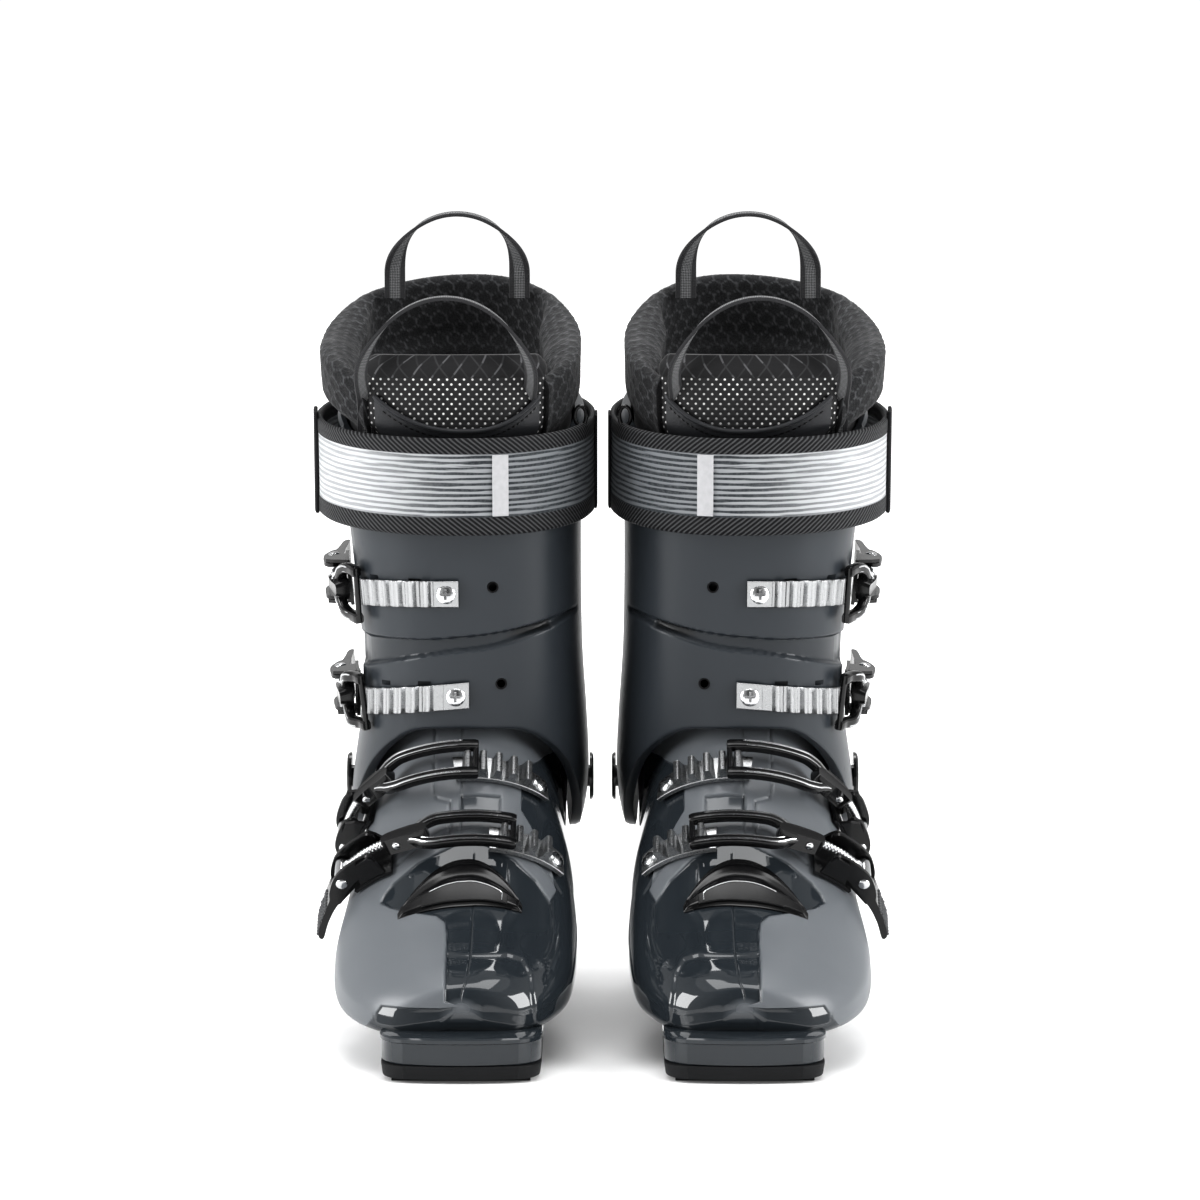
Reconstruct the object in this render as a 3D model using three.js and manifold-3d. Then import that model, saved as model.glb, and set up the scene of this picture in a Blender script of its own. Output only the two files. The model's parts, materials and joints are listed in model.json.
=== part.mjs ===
// A pair of four-buckle alpine ski boots. Millimetres, +Z up, toes towards -Y.
// The right boot is modelled once about its own sole centre line, with its outer
// side at -X, and the left boot is its mirror image. The origin is on the floor,
// midway between the two boots.
import * as THREE from 'three';
import Module from 'manifold-3d';
import { mergeVertices } from 'three/addons/utils/BufferGeometryUtils.js';

const wasm = await Module();
wasm.setup();

// ---------------------------------------------------------------- driving sizes
const SOLE_LENGTH = 305;
const SOLE_WIDTH = 71;
const BOOT_OFFSET = 61.5;        // sole centre line to the plane between the boots
const FIT_GAP = 0.4;             // air kept between touching pieces

const TOE_SOLE = { top: 7.7, back: -58, width: 70, bow: 12 };
const TOE_BLOCK = { bottom: 8.1, top: 19, back: -60, bow: 16 };
const HEEL_SOLE = { top: 9.6, front: 60, width: 69, bow: 20 };
const HEEL_BLOCK = { bottom: 10, top: 30, front: 62, width: 70, bow: 22 };

const SHELL = { wall: 5, ringPoints: 16, throatRise: 12 };
const BOARD = { inset: 5.5, top: 30 };
const LINER_FOOT = { inset: 6, floor: 30.4, hollow: 14.5, sole: 36, hollowStart: 3 };
const LINER_FOOT_TOP = { rearY: 118, rearZ: 107.5, frontY: -2, frontZ: 102 };

const CUFF = { wall: 4.5, frontSquareness: 2.6, rearSquareness: 2.3, widest: 0.42, columns: 30, rows: 6 };
const PIVOT = { y: 58, z: 106, pin: 5, hole: 5.5, head: 11, outerHead: 2.4, innerHead: 2.0 };
const LINER = { wall: 9, rimDraw: 5, gapAngle: 40, deepTop: 160, cuffStart: 174, bottom: 112 };
const TONGUE = { halfAngle: 36, bottom: 130, top: 307, wall: 8.5 };
const STRAP = { front: 229, height: 44, thickness: 3, rise: 0.08, squareness: 2.25, columns: 32 };

// Lower shell sections from the toe, under the arch and round the heel, to the collar:
// sole or heel line (y, z), instep line (y, z), half width, sideways shift.
const STATIONS = [
  [-137, 24, -137, 36, 10, 0],
  [-135.5, 20.5, -135.5, 40, 20, -1],
  [-132, 17.2, -132, 43, 29, -2],
  [-124, 16.5, -124, 48, 38, -3],
  [-110, 16.5, -110, 55, 45.7, -3.8],
  [-90, 16.5, -90, 66, 51.5, -4],
  [-65, 16.5, -65, 86.5, 53.9, -4.1],
  [-45, 16.5, -45, 106.5, 53, -3],
  [-20, 16.5, -30, 122.5, 51, -2],
  [25, 16.5, -20.5, 131.5, 47.5, -1],
  [80, 16.5, -16, 138, 45, 0],
  [128, 20, -14.5, 142, 44.2, 0.2],
  [141, 42, -13.5, 145, 44.2, 0.3],
  [139, 75, -13, 147, 44.8, 0.6],
  [133, 115, -12, 149, 45, 1.3],
  [124, 146, -11, 151, 44, 1.6],
];
const FOOT_STATIONS = 8;         // the sections before this one are upright foot sections

// Cuff silhouette as [height, value] pairs.
const CUFF_FRONT = [[84, -17], [108, -17], [138, -24], [200, -38], [262, -50], [300, -57], [340, -63]];
const CUFF_REAR = [[84, 144], [95, 143], [138, 136], [150, 133], [200, 116], [260, 95], [300, 83], [340, 77]];
const CUFF_OUTER = [[84, 53.5], [105, 54.3], [140, 50], [175, 50], [200, 52], [240, 56], [270, 59], [340, 63]];
const CUFF_INNER = [[84, 50.5], [95, 53.2], [105, 54.6], [118, 55], [140, 54], [175, 52], [240, 51.7], [270, 53], [340, 55]];
// Cuff lower edge as [degrees from the front, height].
const CUFF_EDGE = [[0, 138], [25, 136], [50, 122], [70, 100], [85, 86], [100, 84], [115, 92], [135, 106], [180, 112]];
const CUFF_TOP = { front: 262, rear: 300 };
const LINER_TOP = { front: 292, rear: 339 };

// ---------------------------------------------------------------- materials
function finish(color, roughness, metalness = 0) {
  return new THREE.MeshStandardMaterial({ color, roughness, metalness });
}
const FINISH = {
  gloss: finish(0x39424b, 0.12),
  satin: finish(0x2b3136, 0.45),
  sole: finish(0x14171a, 0.6),
  steel: finish(0xc9ccce, 0.25, 1),
  black: finish(0x15171a, 0.3),
  felt: finish(0x2d2e31, 0.95),
  leather: finish(0x1b1c1f, 0.6),
  webbing: finish(0x8e9296, 0.85),
  board: finish(0x4a4d50, 0.8),
};

// ---------------------------------------------------------------- mesh helpers
function signedVolume(points, triangles) {
  return triangles.reduce((sum, [a, b, c]) => {
    return sum + points[a].dot(points[b].clone().cross(points[c])) / 6;
  }, 0);
}

function closedGeometry(points, triangles) {
  const faces = signedVolume(points, triangles) < 0
    ? triangles.map(([a, b, c]) => [a, c, b])
    : triangles;
  const geometry = new THREE.BufferGeometry().setFromPoints(points);
  geometry.setIndex(faces.flat());
  geometry.computeVertexNormals();
  return geometry;
}

function toSolid(geometry) {
  const plain = geometry.clone();
  plain.deleteAttribute('normal');
  plain.deleteAttribute('uv');
  const merged = mergeVertices(plain, 1e-4);
  return new wasm.Manifold(new wasm.Mesh({
    numProp: 3,
    vertProperties: new Float32Array(merged.attributes.position.array),
    triVerts: new Uint32Array(merged.index.array),
  }));
}

function toGeometry(solid) {
  const mesh = solid.getMesh();
  const geometry = new THREE.BufferGeometry();
  geometry.setAttribute('position', new THREE.BufferAttribute(mesh.vertProperties, 3));
  geometry.setIndex(new THREE.BufferAttribute(mesh.triVerts, 1));
  geometry.computeVertexNormals();
  return geometry;
}

function join(...geometries) {
  return toGeometry(geometries.map(toSolid).reduce((whole, piece) => whole.add(piece)));
}

function cut(geometry, ...tools) {
  return toGeometry(tools.map(toSolid).reduce((whole, tool) => whole.subtract(tool), toSolid(geometry)));
}

function common(geometry, other) {
  return toGeometry(toSolid(geometry).intersect(toSolid(other)));
}

function quad(a, b, c, d) {
  return [[a, b, c], [a, c, d]];
}

// Rings of equal length skinned in order, each end closed by a fan.
function loft(rings) {
  const count = rings[0].length;
  const points = rings.flat();
  const triangles = [];
  for (let i = 0; i + 1 < rings.length; i += 1) {
    for (let j = 0; j < count; j += 1) {
      const next = (j + 1) % count;
      triangles.push(...quad(i * count + j, i * count + next, (i + 1) * count + next, (i + 1) * count + j));
    }
  }
  for (const [ring, first] of [[rings[0], 0], [rings.at(-1), (rings.length - 1) * count]]) {
    const centre = ring.reduce((sum, p) => sum.add(p), new THREE.Vector3()).divideScalar(count);
    const hub = points.push(centre) - 1;
    for (let j = 0; j < count; j += 1) {
      const next = (j + 1) % count;
      triangles.push(first === 0 ? [hub, first + next, first + j] : [hub, first + j, first + next]);
    }
  }
  return closedGeometry(points, triangles);
}

// A wall between two grids of points, outer[row][column] and inner[row][column].
function gridWall(outer, inner, isRing) {
  const rows = outer.length;
  const columns = outer[0].length;
  const points = [...outer.flat(), ...inner.flat()];
  const at = (side, i, j) => side * rows * columns + i * columns + (j % columns);
  const triangles = [];
  const spans = isRing ? columns : columns - 1;
  for (let j = 0; j < spans; j += 1) {
    for (let i = 0; i + 1 < rows; i += 1) {
      triangles.push(...quad(at(0, i, j), at(0, i, j + 1), at(0, i + 1, j + 1), at(0, i + 1, j)));
      triangles.push(...quad(at(1, i, j), at(1, i + 1, j), at(1, i + 1, j + 1), at(1, i, j + 1)));
    }
    triangles.push(...quad(at(0, 0, j), at(1, 0, j), at(1, 0, j + 1), at(0, 0, j + 1)));
    triangles.push(...quad(at(0, rows - 1, j), at(0, rows - 1, j + 1), at(1, rows - 1, j + 1), at(1, rows - 1, j)));
  }
  if (!isRing) {
    for (let i = 0; i + 1 < rows; i += 1) {
      const end = columns - 1;
      triangles.push(...quad(at(0, i, 0), at(0, i + 1, 0), at(1, i + 1, 0), at(1, i, 0)));
      triangles.push(...quad(at(0, i, end), at(1, i, end), at(1, i + 1, end), at(0, i + 1, end)));
    }
  }
  return closedGeometry(points, triangles);
}

function wound(loop, direction) {
  return THREE.ShapeUtils.area(loop) * direction < 0 ? loop.slice().reverse() : loop.slice();
}

// A flat outline with optional holes, each of its 2D points placed twice in space.
function prism(outline, openings, placeNear, placeFar) {
  const contour = wound(outline, 1);
  const holes = openings.map((opening) => wound(opening, -1));
  const flat = [contour, ...holes].flat();
  const caps = THREE.ShapeUtils.triangulateShape(contour, holes);
  const points = [...flat.map(placeNear), ...flat.map(placeFar)];
  const far = flat.length;
  const triangles = caps.flatMap(([a, b, c]) => [[a, c, b], [far + a, far + b, far + c]]);
  let first = 0;
  for (const loop of [contour, ...holes]) {
    for (let k = 0; k < loop.length; k += 1) {
      const a = first + k;
      const b = first + ((k + 1) % loop.length);
      triangles.push(...quad(a, b, far + b, far + a));
    }
    first += loop.length;
  }
  return closedGeometry(points, triangles);
}

function extrudeUp(outline, bottom, top) {
  const place = (height) => (p) => new THREE.Vector3(p.x, p.y, height);
  return prism(outline, [], place(bottom), place(top));
}

function block(x0, x1, y0, y1, z0, z1) {
  const box = new THREE.BoxGeometry(x1 - x0, y1 - y0, z1 - z0);
  return box.translate((x0 + x1) / 2, (y0 + y1) / 2, (z0 + z1) / 2);
}

// A round bar from one point to another.
function rod(from, to, radius, sides = 10) {
  const axis = to.clone().sub(from);
  const bar = new THREE.CylinderGeometry(radius, radius, axis.length(), sides);
  bar.applyQuaternion(new THREE.Quaternion().setFromUnitVectors(new THREE.Vector3(0, 1, 0), axis.normalize()));
  const middle = from.clone().add(to).multiplyScalar(0.5);
  return bar.translate(middle.x, middle.y, middle.z);
}

// ---------------------------------------------------------------- curves through tables
function through(values) {
  const curve = new THREE.SplineCurve(values.map((value, i) => new THREE.Vector2(i, value)));
  return (u) => curve.getPoint(THREE.MathUtils.clamp(u / (values.length - 1), 0, 1)).y;
}

function profile(pairs) {
  return (at) => {
    const last = pairs.length - 2;
    const found = pairs.findIndex(([start], i) => i <= last && at < pairs[i + 1][0]);
    const i = found < 0 ? last : Math.max(found, 0);
    const [x0, y0] = pairs[i];
    const [x1, y1] = pairs[i + 1];
    const slope = (k) => (pairs[k + 1][1] - pairs[k - 1][1]) / (pairs[k + 1][0] - pairs[k - 1][0]);
    const chord = (y1 - y0) / (x1 - x0);
    const startSlope = i > 0 ? slope(i) : chord;
    const endSlope = i < last ? slope(i + 1) : chord;
    const t = THREE.MathUtils.clamp((at - x0) / (x1 - x0), 0, 1);
    const width = x1 - x0;
    return (1 + 2 * t) * (1 - t) ** 2 * y0 + t * (1 - t) ** 2 * width * startSlope
      + t * t * (3 - 2 * t) * y1 + t * t * (t - 1) * width * endSlope;
  };
}

function blend(low, high, value) {
  return THREE.MathUtils.smoothstep(value, low, high);
}

// ---------------------------------------------------------------- lower shell surface
const stationCurve = [0, 1, 2, 3, 4, 5].map((column) => through(STATIONS.map((row) => row[column])));
const LAST_STATION = STATIONS.length - 1;

function insetLine(u, columnY, columnZ, inset, towards) {
  const step = 0.02;
  const before = Math.max(u - step, 0);
  const after = Math.min(u + step, LAST_STATION);
  const dy = stationCurve[columnY](after) - stationCurve[columnY](before);
  const dz = stationCurve[columnZ](after) - stationCurve[columnZ](before);
  const normal = new THREE.Vector2(-dz, dy).normalize();
  const point = new THREE.Vector2(stationCurve[columnY](u), stationCurve[columnZ](u));
  if (normal.dot(towards.clone().sub(point)) < 0) normal.negate();
  return point.addScaledVector(normal, inset);
}

// Station u, turn 0 = under the sole, 0.25 = outer side, 0.5 = instep, 0.75 = inner side.
function shellPoint(u, turn, inset = 0) {
  const soleLine = new THREE.Vector2(stationCurve[0](u), stationCurve[1](u));
  const instepLine = new THREE.Vector2(stationCurve[2](u), stationCurve[3](u));
  const bottom = insetLine(u, 0, 1, inset, instepLine);
  const top = insetLine(u, 2, 3, inset, soleLine);
  const isFoot = 1 - blend(FOOT_STATIONS - 1, FOOT_STATIONS + 2, u);
  const waist = 0.5 - 0.15 * isFoot;
  const angle = turn * 2 * Math.PI;
  const across = Math.sin(angle);
  const along = -Math.cos(angle);
  const squareness = along < 0 ? 2.25 + 1.8 * isFoot : 2.2 - 0.3 * isFoot;
  const reach = Math.sign(along) * Math.abs(along) ** (2 / squareness);
  const height = along < 0 ? waist * (1 + reach) : waist + (1 - waist) * reach;
  const half = stationCurve[4](u) - inset;
  const side = -Math.sign(across) * Math.abs(across) ** (2 / squareness);
  const spine = bottom.lerp(top, height);
  // The forefoot bulges outwards at its widest line while its crown leans inwards.
  const shift = stationCurve[5](u) * (1 + isFoot * (0.2 - 2.2 * height * height));
  return new THREE.Vector3(shift + half * side, spine.x, spine.y);
}

function shellRings(inset, start, extraRise) {
  const turns = Array.from({ length: SHELL.ringPoints }, (_, j) => j / SHELL.ringPoints);
  const stations = STATIONS.map((_, i) => i).filter((i) => i > start);
  const rings = [start, ...stations].map((u) => turns.map((turn) => shellPoint(u, turn, inset)));
  if (extraRise > 0) {
    const lift = new THREE.Vector3(0, -0.22 * extraRise, extraRise);
    rings.push(rings.at(-1).map((p) => p.clone().add(lift)));
  }
  return loft(rings);
}

// ---------------------------------------------------------------- cuff surface
const cuffFront = profile(CUFF_FRONT);
const cuffRear = profile(CUFF_REAR);
const cuffOuter = profile(CUFF_OUTER);
const cuffInner = profile(CUFF_INNER);
const cuffEdge = profile(CUFF_EDGE);

// Degrees from the front: 0 = front, 90 = outer side, 180 = rear, 270 = inner side.
function cuffPoint(degrees, z, inset = 0) {
  const angle = THREE.MathUtils.degToRad(degrees);
  const forward = Math.cos(angle);
  const outward = Math.sin(angle);
  const squareness = forward > 0 ? CUFF.frontSquareness : CUFF.rearSquareness;
  const middle = THREE.MathUtils.lerp(cuffFront(z), cuffRear(z), CUFF.widest);
  const length = (forward > 0 ? middle - cuffFront(z) : cuffRear(z) - middle) - inset;
  const width = (outward > 0 ? cuffOuter(z) : cuffInner(z)) - inset;
  const x = -width * Math.sign(outward) * Math.abs(outward) ** (2 / squareness);
  const y = middle - length * Math.sign(forward) * Math.abs(forward) ** (2 / squareness);
  return new THREE.Vector3(x, y, z);
}

function fromFront(degrees) {
  return Math.abs(THREE.MathUtils.euclideanModulo(degrees + 180, 360) - 180);
}

function betweenFrontAndRear(degrees, front, rear) {
  return front + (rear - front) * (1 - Math.cos(THREE.MathUtils.degToRad(degrees))) / 2;
}

function cuffTop(degrees) {
  return betweenFrontAndRear(degrees, CUFF_TOP.front, CUFF_TOP.rear);
}

// ---------------------------------------------------------------- lower shell pieces
// A plate with one square end and one blunt, gently bowed end.
function soleOutline(width, square, bowed, bow) {
  const half = width / 2;
  const inward = Math.sign(square - bowed);
  const outline = new THREE.Shape();
  outline.moveTo(-half, square);
  outline.lineTo(-half, bowed + inward * (bow + 6));
  outline.quadraticCurveTo(-half, bowed + inward * bow * 0.5, -half * 0.72, bowed + inward * bow * 0.2);
  outline.quadraticCurveTo(0, bowed - inward * bow * 0.2, half * 0.72, bowed + inward * bow * 0.2);
  outline.quadraticCurveTo(half, bowed + inward * bow * 0.5, half, bowed + inward * (bow + 6));
  outline.lineTo(half, square);
  return outline.getPoints(4);
}

function toeSole() {
  const outline = soleOutline(TOE_SOLE.width, TOE_SOLE.back, -SOLE_LENGTH / 2, TOE_SOLE.bow);
  return extrudeUp(outline, 0, TOE_SOLE.top);
}

function heelSole() {
  const outline = soleOutline(HEEL_SOLE.width, HEEL_SOLE.front, SOLE_LENGTH / 2, HEEL_SOLE.bow);
  return extrudeUp(outline, 0, HEEL_SOLE.top);
}

function pivotBore(radius) {
  const from = new THREE.Vector3(-80, PIVOT.y, PIVOT.z);
  const to = new THREE.Vector3(80, PIVOT.y, PIVOT.z);
  return rod(from, to, radius, 12);
}

function lowerShell() {
  const toe = soleOutline(SOLE_WIDTH, TOE_BLOCK.back, -SOLE_LENGTH / 2, TOE_BLOCK.bow);
  const heel = soleOutline(HEEL_BLOCK.width, HEEL_BLOCK.front, SOLE_LENGTH / 2, HEEL_BLOCK.bow);
  const outside = join(
    shellRings(0, 0, 0),
    extrudeUp(toe, TOE_BLOCK.bottom, TOE_BLOCK.top),
    extrudeUp(heel, HEEL_BLOCK.bottom, HEEL_BLOCK.top),
  );
  return cut(outside, shellRings(SHELL.wall, 0, SHELL.throatRise), pivotBore(PIVOT.hole));
}

function bootBoard() {
  return common(shellRings(BOARD.inset, 0, 0), block(-80, 80, -160, 160, 0, BOARD.top));
}

function linerFoot() {
  const { rearY, rearZ, frontY, frontZ } = LINER_FOOT_TOP;
  const slope = (rearZ - frontZ) / (rearY - frontY);
  const topAt = (y) => frontZ + slope * (y - frontY);
  const keep = prism(
    [
      new THREE.Vector2(-170, LINER_FOOT.floor),
      new THREE.Vector2(170, LINER_FOOT.floor),
      new THREE.Vector2(170, topAt(170)),
      new THREE.Vector2(-170, topAt(-170)),
    ],
    [],
    (p) => new THREE.Vector3(-90, p.x, p.y),
    (p) => new THREE.Vector3(90, p.x, p.y),
  );
  const outside = common(shellRings(LINER_FOOT.inset, 0, 0), keep);
  const hollow = common(
    shellRings(LINER_FOOT.hollow, LINER_FOOT.hollowStart, 0),
    block(-80, 80, -160, 160, LINER_FOOT.sole, 200),
  );
  return cut(outside, hollow);
}

function toeBadge() {
  const columns = 8;
  const middleTurn = 0.486;
  const halfTurn = 0.08;
  const lift = { under: -0.8, over: -2 };
  const grid = (inset) => [0, 0.5, 1].map((up) => {
    return Array.from({ length: columns + 1 }, (_, j) => {
      const side = 2 * j / columns - 1;
      const lower = 5.16 - 0.05 * (1 - Math.abs(side));
      const upper = lower + 0.12 + 0.72 * (1 - side * side);
      return shellPoint(THREE.MathUtils.lerp(lower, upper, up), middleTurn + halfTurn * side, inset);
    });
  });
  return gridWall(grid(lift.over), grid(lift.under), false);
}

// ---------------------------------------------------------------- cuff pieces
function ringDegrees(columns) {
  return Array.from({ length: columns }, (_, j) => (j * 360) / columns);
}

function cuffShell() {
  const around = ringDegrees(CUFF.columns);
  const grid = (inset) => Array.from({ length: CUFF.rows }, (_, i) => around.map((degrees) => {
    const low = cuffEdge(fromFront(degrees));
    return cuffPoint(degrees, THREE.MathUtils.lerp(low, cuffTop(degrees), i / (CUFF.rows - 1)), inset);
  }));
  return cut(gridWall(grid(0), grid(CUFF.wall), true), pivotBore(PIVOT.hole));
}

// A headed pin through cuff and shell; side -1 is the outer side of the boot.
function pivotRivet(side, headThickness) {
  const cuffFace = side < 0 ? cuffOuter(PIVOT.z) : cuffInner(PIVOT.z);
  const inEnd = cuffFace - CUFF.wall - 6;
  const headFace = cuffFace + 2 * FIT_GAP;
  const outEnd = headFace + headThickness;
  const outline = [
    [0, inEnd],
    [PIVOT.pin, inEnd],
    [PIVOT.pin, headFace],
    [PIVOT.head, headFace],
    [PIVOT.head, headFace + 0.4 * headThickness],
    [PIVOT.head * 0.72, outEnd],
    [0, outEnd],
  ].map(([radius, along]) => new THREE.Vector2(radius, along));
  const rivet = new THREE.LatheGeometry(outline, 12);
  rivet.rotateZ(-side * Math.PI / 2);
  return rivet.translate(0, PIVOT.y, PIVOT.z);
}

// How far inside the cuff's outer surface the liner's outer surface lies.
function linerInset(degrees, z) {
  const angle = THREE.MathUtils.degToRad(degrees);
  const forward = Math.max(Math.cos(angle), 0) ** 0.6;
  const backward = Math.max(-Math.cos(angle), 0) ** 1.5;
  const deep = 14.9 + 12.6 * forward + 3 * backward;
  const inCuff = CUFF.wall + 1.5;
  const flare = 2 - 7 * Math.max(Math.sin(angle), 0);
  const edge = cuffTop(degrees);
  const lower = THREE.MathUtils.lerp(deep, inCuff, blend(LINER.deepTop, LINER.cuffStart, z));
  return THREE.MathUtils.lerp(lower, flare, blend(edge + 1, edge + 13, z));
}

function linerGrid(angles, heights, extraInset) {
  return heights(0).map((_, i) => angles.map((degrees) => {
    const z = heights(degrees)[i];
    return cuffPoint(degrees, z, linerInset(degrees, z) + extraInset);
  }));
}

function linerShaft() {
  const columns = 20;
  const span = 360 - 2 * LINER.gapAngle;
  const angles = Array.from({ length: columns + 1 }, (_, j) => LINER.gapAngle + (span * j) / columns);
  const heights = (degrees) => [
    LINER.bottom,
    LINER.deepTop,
    LINER.cuffStart,
    228,
    cuffTop(degrees) + 1,
    cuffTop(degrees) + 13,
    betweenFrontAndRear(degrees, LINER_TOP.front, LINER_TOP.rear),
  ];
  const outer = linerGrid(angles, heights, 0);
  outer[outer.length - 1] = linerGrid(angles, heights, LINER.rimDraw).at(-1);
  return gridWall(outer, linerGrid(angles, heights, LINER.wall), false);
}

function linerTongue() {
  const columns = 8;
  const angles = Array.from({ length: columns + 1 }, (_, j) => TONGUE.halfAngle * (2 * j / columns - 1));
  const heights = (degrees) => [
    TONGUE.bottom,
    LINER.deepTop,
    LINER.cuffStart,
    228,
    cuffTop(degrees) + 1,
    cuffTop(degrees) + 13,
    TONGUE.top,
  ];
  return gridWall(linerGrid(angles, heights, 0), linerGrid(angles, heights, TONGUE.wall), false);
}

// A webbing arch standing on its two ends, leaning forward with the shaft.
function webbingArch({ halfWidth, height, legs, thickness, depth, lean, place }) {
  const steps = 10;
  const side = (grow) => Array.from({ length: steps + 1 }, (_, k) => {
    const angle = (Math.PI * k) / steps;
    return new THREE.Vector2((halfWidth + grow) * Math.cos(angle), (height + grow) * Math.sin(angle));
  });
  const outside = side(0);
  const inside = side(-thickness).reverse();
  const outline = [
    new THREE.Vector2(halfWidth, -legs),
    ...outside,
    new THREE.Vector2(-halfWidth, -legs),
    new THREE.Vector2(thickness - halfWidth, -legs),
    ...inside,
    new THREE.Vector2(halfWidth - thickness, -legs),
  ];
  const standing = (y) => (p) => new THREE.Vector3(p.x, y, p.y);
  const arch = prism(outline, [], standing(-depth / 2), standing(depth / 2));
  return arch.rotateX(lean).translate(...place);
}

const LEAN = THREE.MathUtils.degToRad(12);
function rearLoop() {
  return webbingArch({
    halfWidth: 31, height: 27, legs: 12, thickness: 2.2, depth: 11, lean: LEAN * 0.5, place: [-5.5, 49.5, 341],
  });
}

function tongueLoop() {
  return webbingArch({
    halfWidth: 43, height: 53, legs: 2, thickness: 2.2, depth: 8, lean: LEAN * 0.4, place: [-8, -57, 282],
  });
}

function powerStrap() {
  const around = ringDegrees(STRAP.columns);
  const front = { y: -59 };
  const reach = { outer: 68.6, inner: 58.3, rear: 106 };
  const point = (degrees, up, inset) => {
    const angle = THREE.MathUtils.degToRad(degrees);
    const forward = Math.cos(angle);
    const outward = Math.sin(angle);
    const length = (reach.rear - front.y) / 2 - inset;
    const width = (outward > 0 ? reach.outer : reach.inner) - inset;
    const x = -width * Math.sign(outward) * Math.abs(outward) ** (2 / STRAP.squareness);
    const middle = (reach.rear + front.y) / 2;
    const y = middle - length * Math.sign(forward) * Math.abs(forward) ** (2 / STRAP.squareness);
    const low = STRAP.front + STRAP.rise * (y - front.y);
    return new THREE.Vector3(x, y - 0.2 * (up * STRAP.height), low + up * STRAP.height);
  };
  const grid = (inset) => [0, 1].map((up) => around.map((degrees) => point(degrees, up, inset)));
  return gridWall(grid(0), grid(STRAP.thickness), true);
}

// ---------------------------------------------------------------- buckle tracks
// A track follows a plane section of the shell or cuff. Lengths run from the lever's
// pivot towards the ladder, heights stand off the surface, widths run along the axis.
class Track {
  constructor({ surface, axis, origin, from, to, low, high }) {
    const steps = 90;
    this.axis = axis;
    this.turns = Array.from({ length: steps + 1 }, (_, k) => THREE.MathUtils.lerp(from, to, k / steps));
    this.section = (turn, width) => {
      const start = origin.clone().addScaledVector(axis, width);
      let near = low;
      let far = high;
      for (let pass = 0; pass < 40; pass += 1) {
        const middle = (near + far) / 2;
        if (surface(turn, middle).sub(start).dot(axis) < 0) near = middle;
        else far = middle;
      }
      return surface(turn, near);
    };
    this.points = this.turns.map((turn) => this.section(turn, 0));
    this.zero = 0;
    this.lengths = [0];
    for (let i = 1; i <= steps; i += 1) {
      this.lengths.push(this.lengths[i - 1] + this.points[i].distanceTo(this.points[i - 1]));
    }
  }

  // The stretch of the section that holds a length, and how far along it that is.
  stretch(length) {
    const at = length + this.zero;
    const last = this.points.length - 2;
    const found = this.lengths.findIndex((end, i) => i > 0 && at < end) - 1;
    const i = found < 0 ? last : Math.min(found, last);
    return [i, (at - this.lengths[i]) / (this.lengths[i + 1] - this.lengths[i])];
  }

  surface(length) {
    const [i, share] = this.stretch(length);
    return this.points[i].clone().lerp(this.points[i + 1], share);
  }

  outward(length) {
    const reach = 3;
    const along = this.surface(length + reach).sub(this.surface(length - reach)).normalize();
    return along.cross(this.axis);
  }

  // A point square to the section's plane, for pieces that turn about the axis.
  place(length, height, width = 0) {
    const point = this.surface(length).addScaledVector(this.outward(length), height);
    return point.addScaledVector(this.axis, width);
  }

  // A point above the real surface beside the section, for pieces that lie flat on it.
  hug(length, height, width) {
    const [i, share] = this.stretch(length);
    const turn = THREE.MathUtils.lerp(this.turns[i], this.turns[i + 1], share);
    return this.section(turn, width).addScaledVector(this.outward(length), height);
  }

  // Length past the given one at which a coordinate of the surface reaches a value.
  lengthAt(coordinate, value, past = -this.zero) {
    const reached = (i) => (this.points[i][coordinate] - value) * (this.points[i - 1][coordinate] - value) <= 0;
    const found = this.lengths.findIndex((length, i) => i > 0 && length > past + this.zero && reached(i));
    const share = (value - this.points[found - 1][coordinate])
      / (this.points[found][coordinate] - this.points[found - 1][coordinate]);
    return THREE.MathUtils.lerp(this.lengths[found - 1], this.lengths[found], share) - this.zero;
  }
}

function shellTrack(y, z, tiltDegrees) {
  const tilt = THREE.MathUtils.degToRad(tiltDegrees);
  return new Track({
    surface: (turn, u) => shellPoint(u, turn),
    axis: new THREE.Vector3(0, Math.cos(tilt), Math.sin(tilt)),
    origin: new THREE.Vector3(0, y, z),
    from: 0.2,
    to: 0.74,
    low: 2,
    high: 12,
  });
}

function cuffTrack(y, z, leanDegrees, rollDegrees) {
  const lean = THREE.MathUtils.degToRad(leanDegrees);
  const roll = THREE.MathUtils.degToRad(rollDegrees);
  return new Track({
    surface: (degrees, height) => cuffPoint(degrees, height),
    axis: new THREE.Vector3(
      -Math.sin(roll),
      -Math.sin(lean) * Math.cos(roll),
      Math.cos(lean) * Math.cos(roll),
    ),
    origin: new THREE.Vector3(0, y, z),
    from: 120,
    to: -30,
    low: 90,
    high: 330,
  });
}

// ---------------------------------------------------------------- buckle pieces
const BUCKLE = {
  pivotHeight: 9,
  throw: 13,
  pin: 2,
  pinHole: 2.4,
  linkPin: 1.5,
  linkHole: 1.9,
  eye: 3.5,
  baseFront: 8.5,
  baseBack: -11,
  baseHalf: 10.8,
  baseTop: 2.8,
  ear: [8.8, 10.3],
  cheek: [6.7, 8.4],
  ladderHalf: 6,
  barHalf: 0.9,
  loadedGap: 1.6,
};

function sweptProfile(track, outline, from, to) {
  return prism(outline, [], (p) => track.place(p.x, p.y, from), (p) => track.place(p.x, p.y, to));
}

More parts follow.
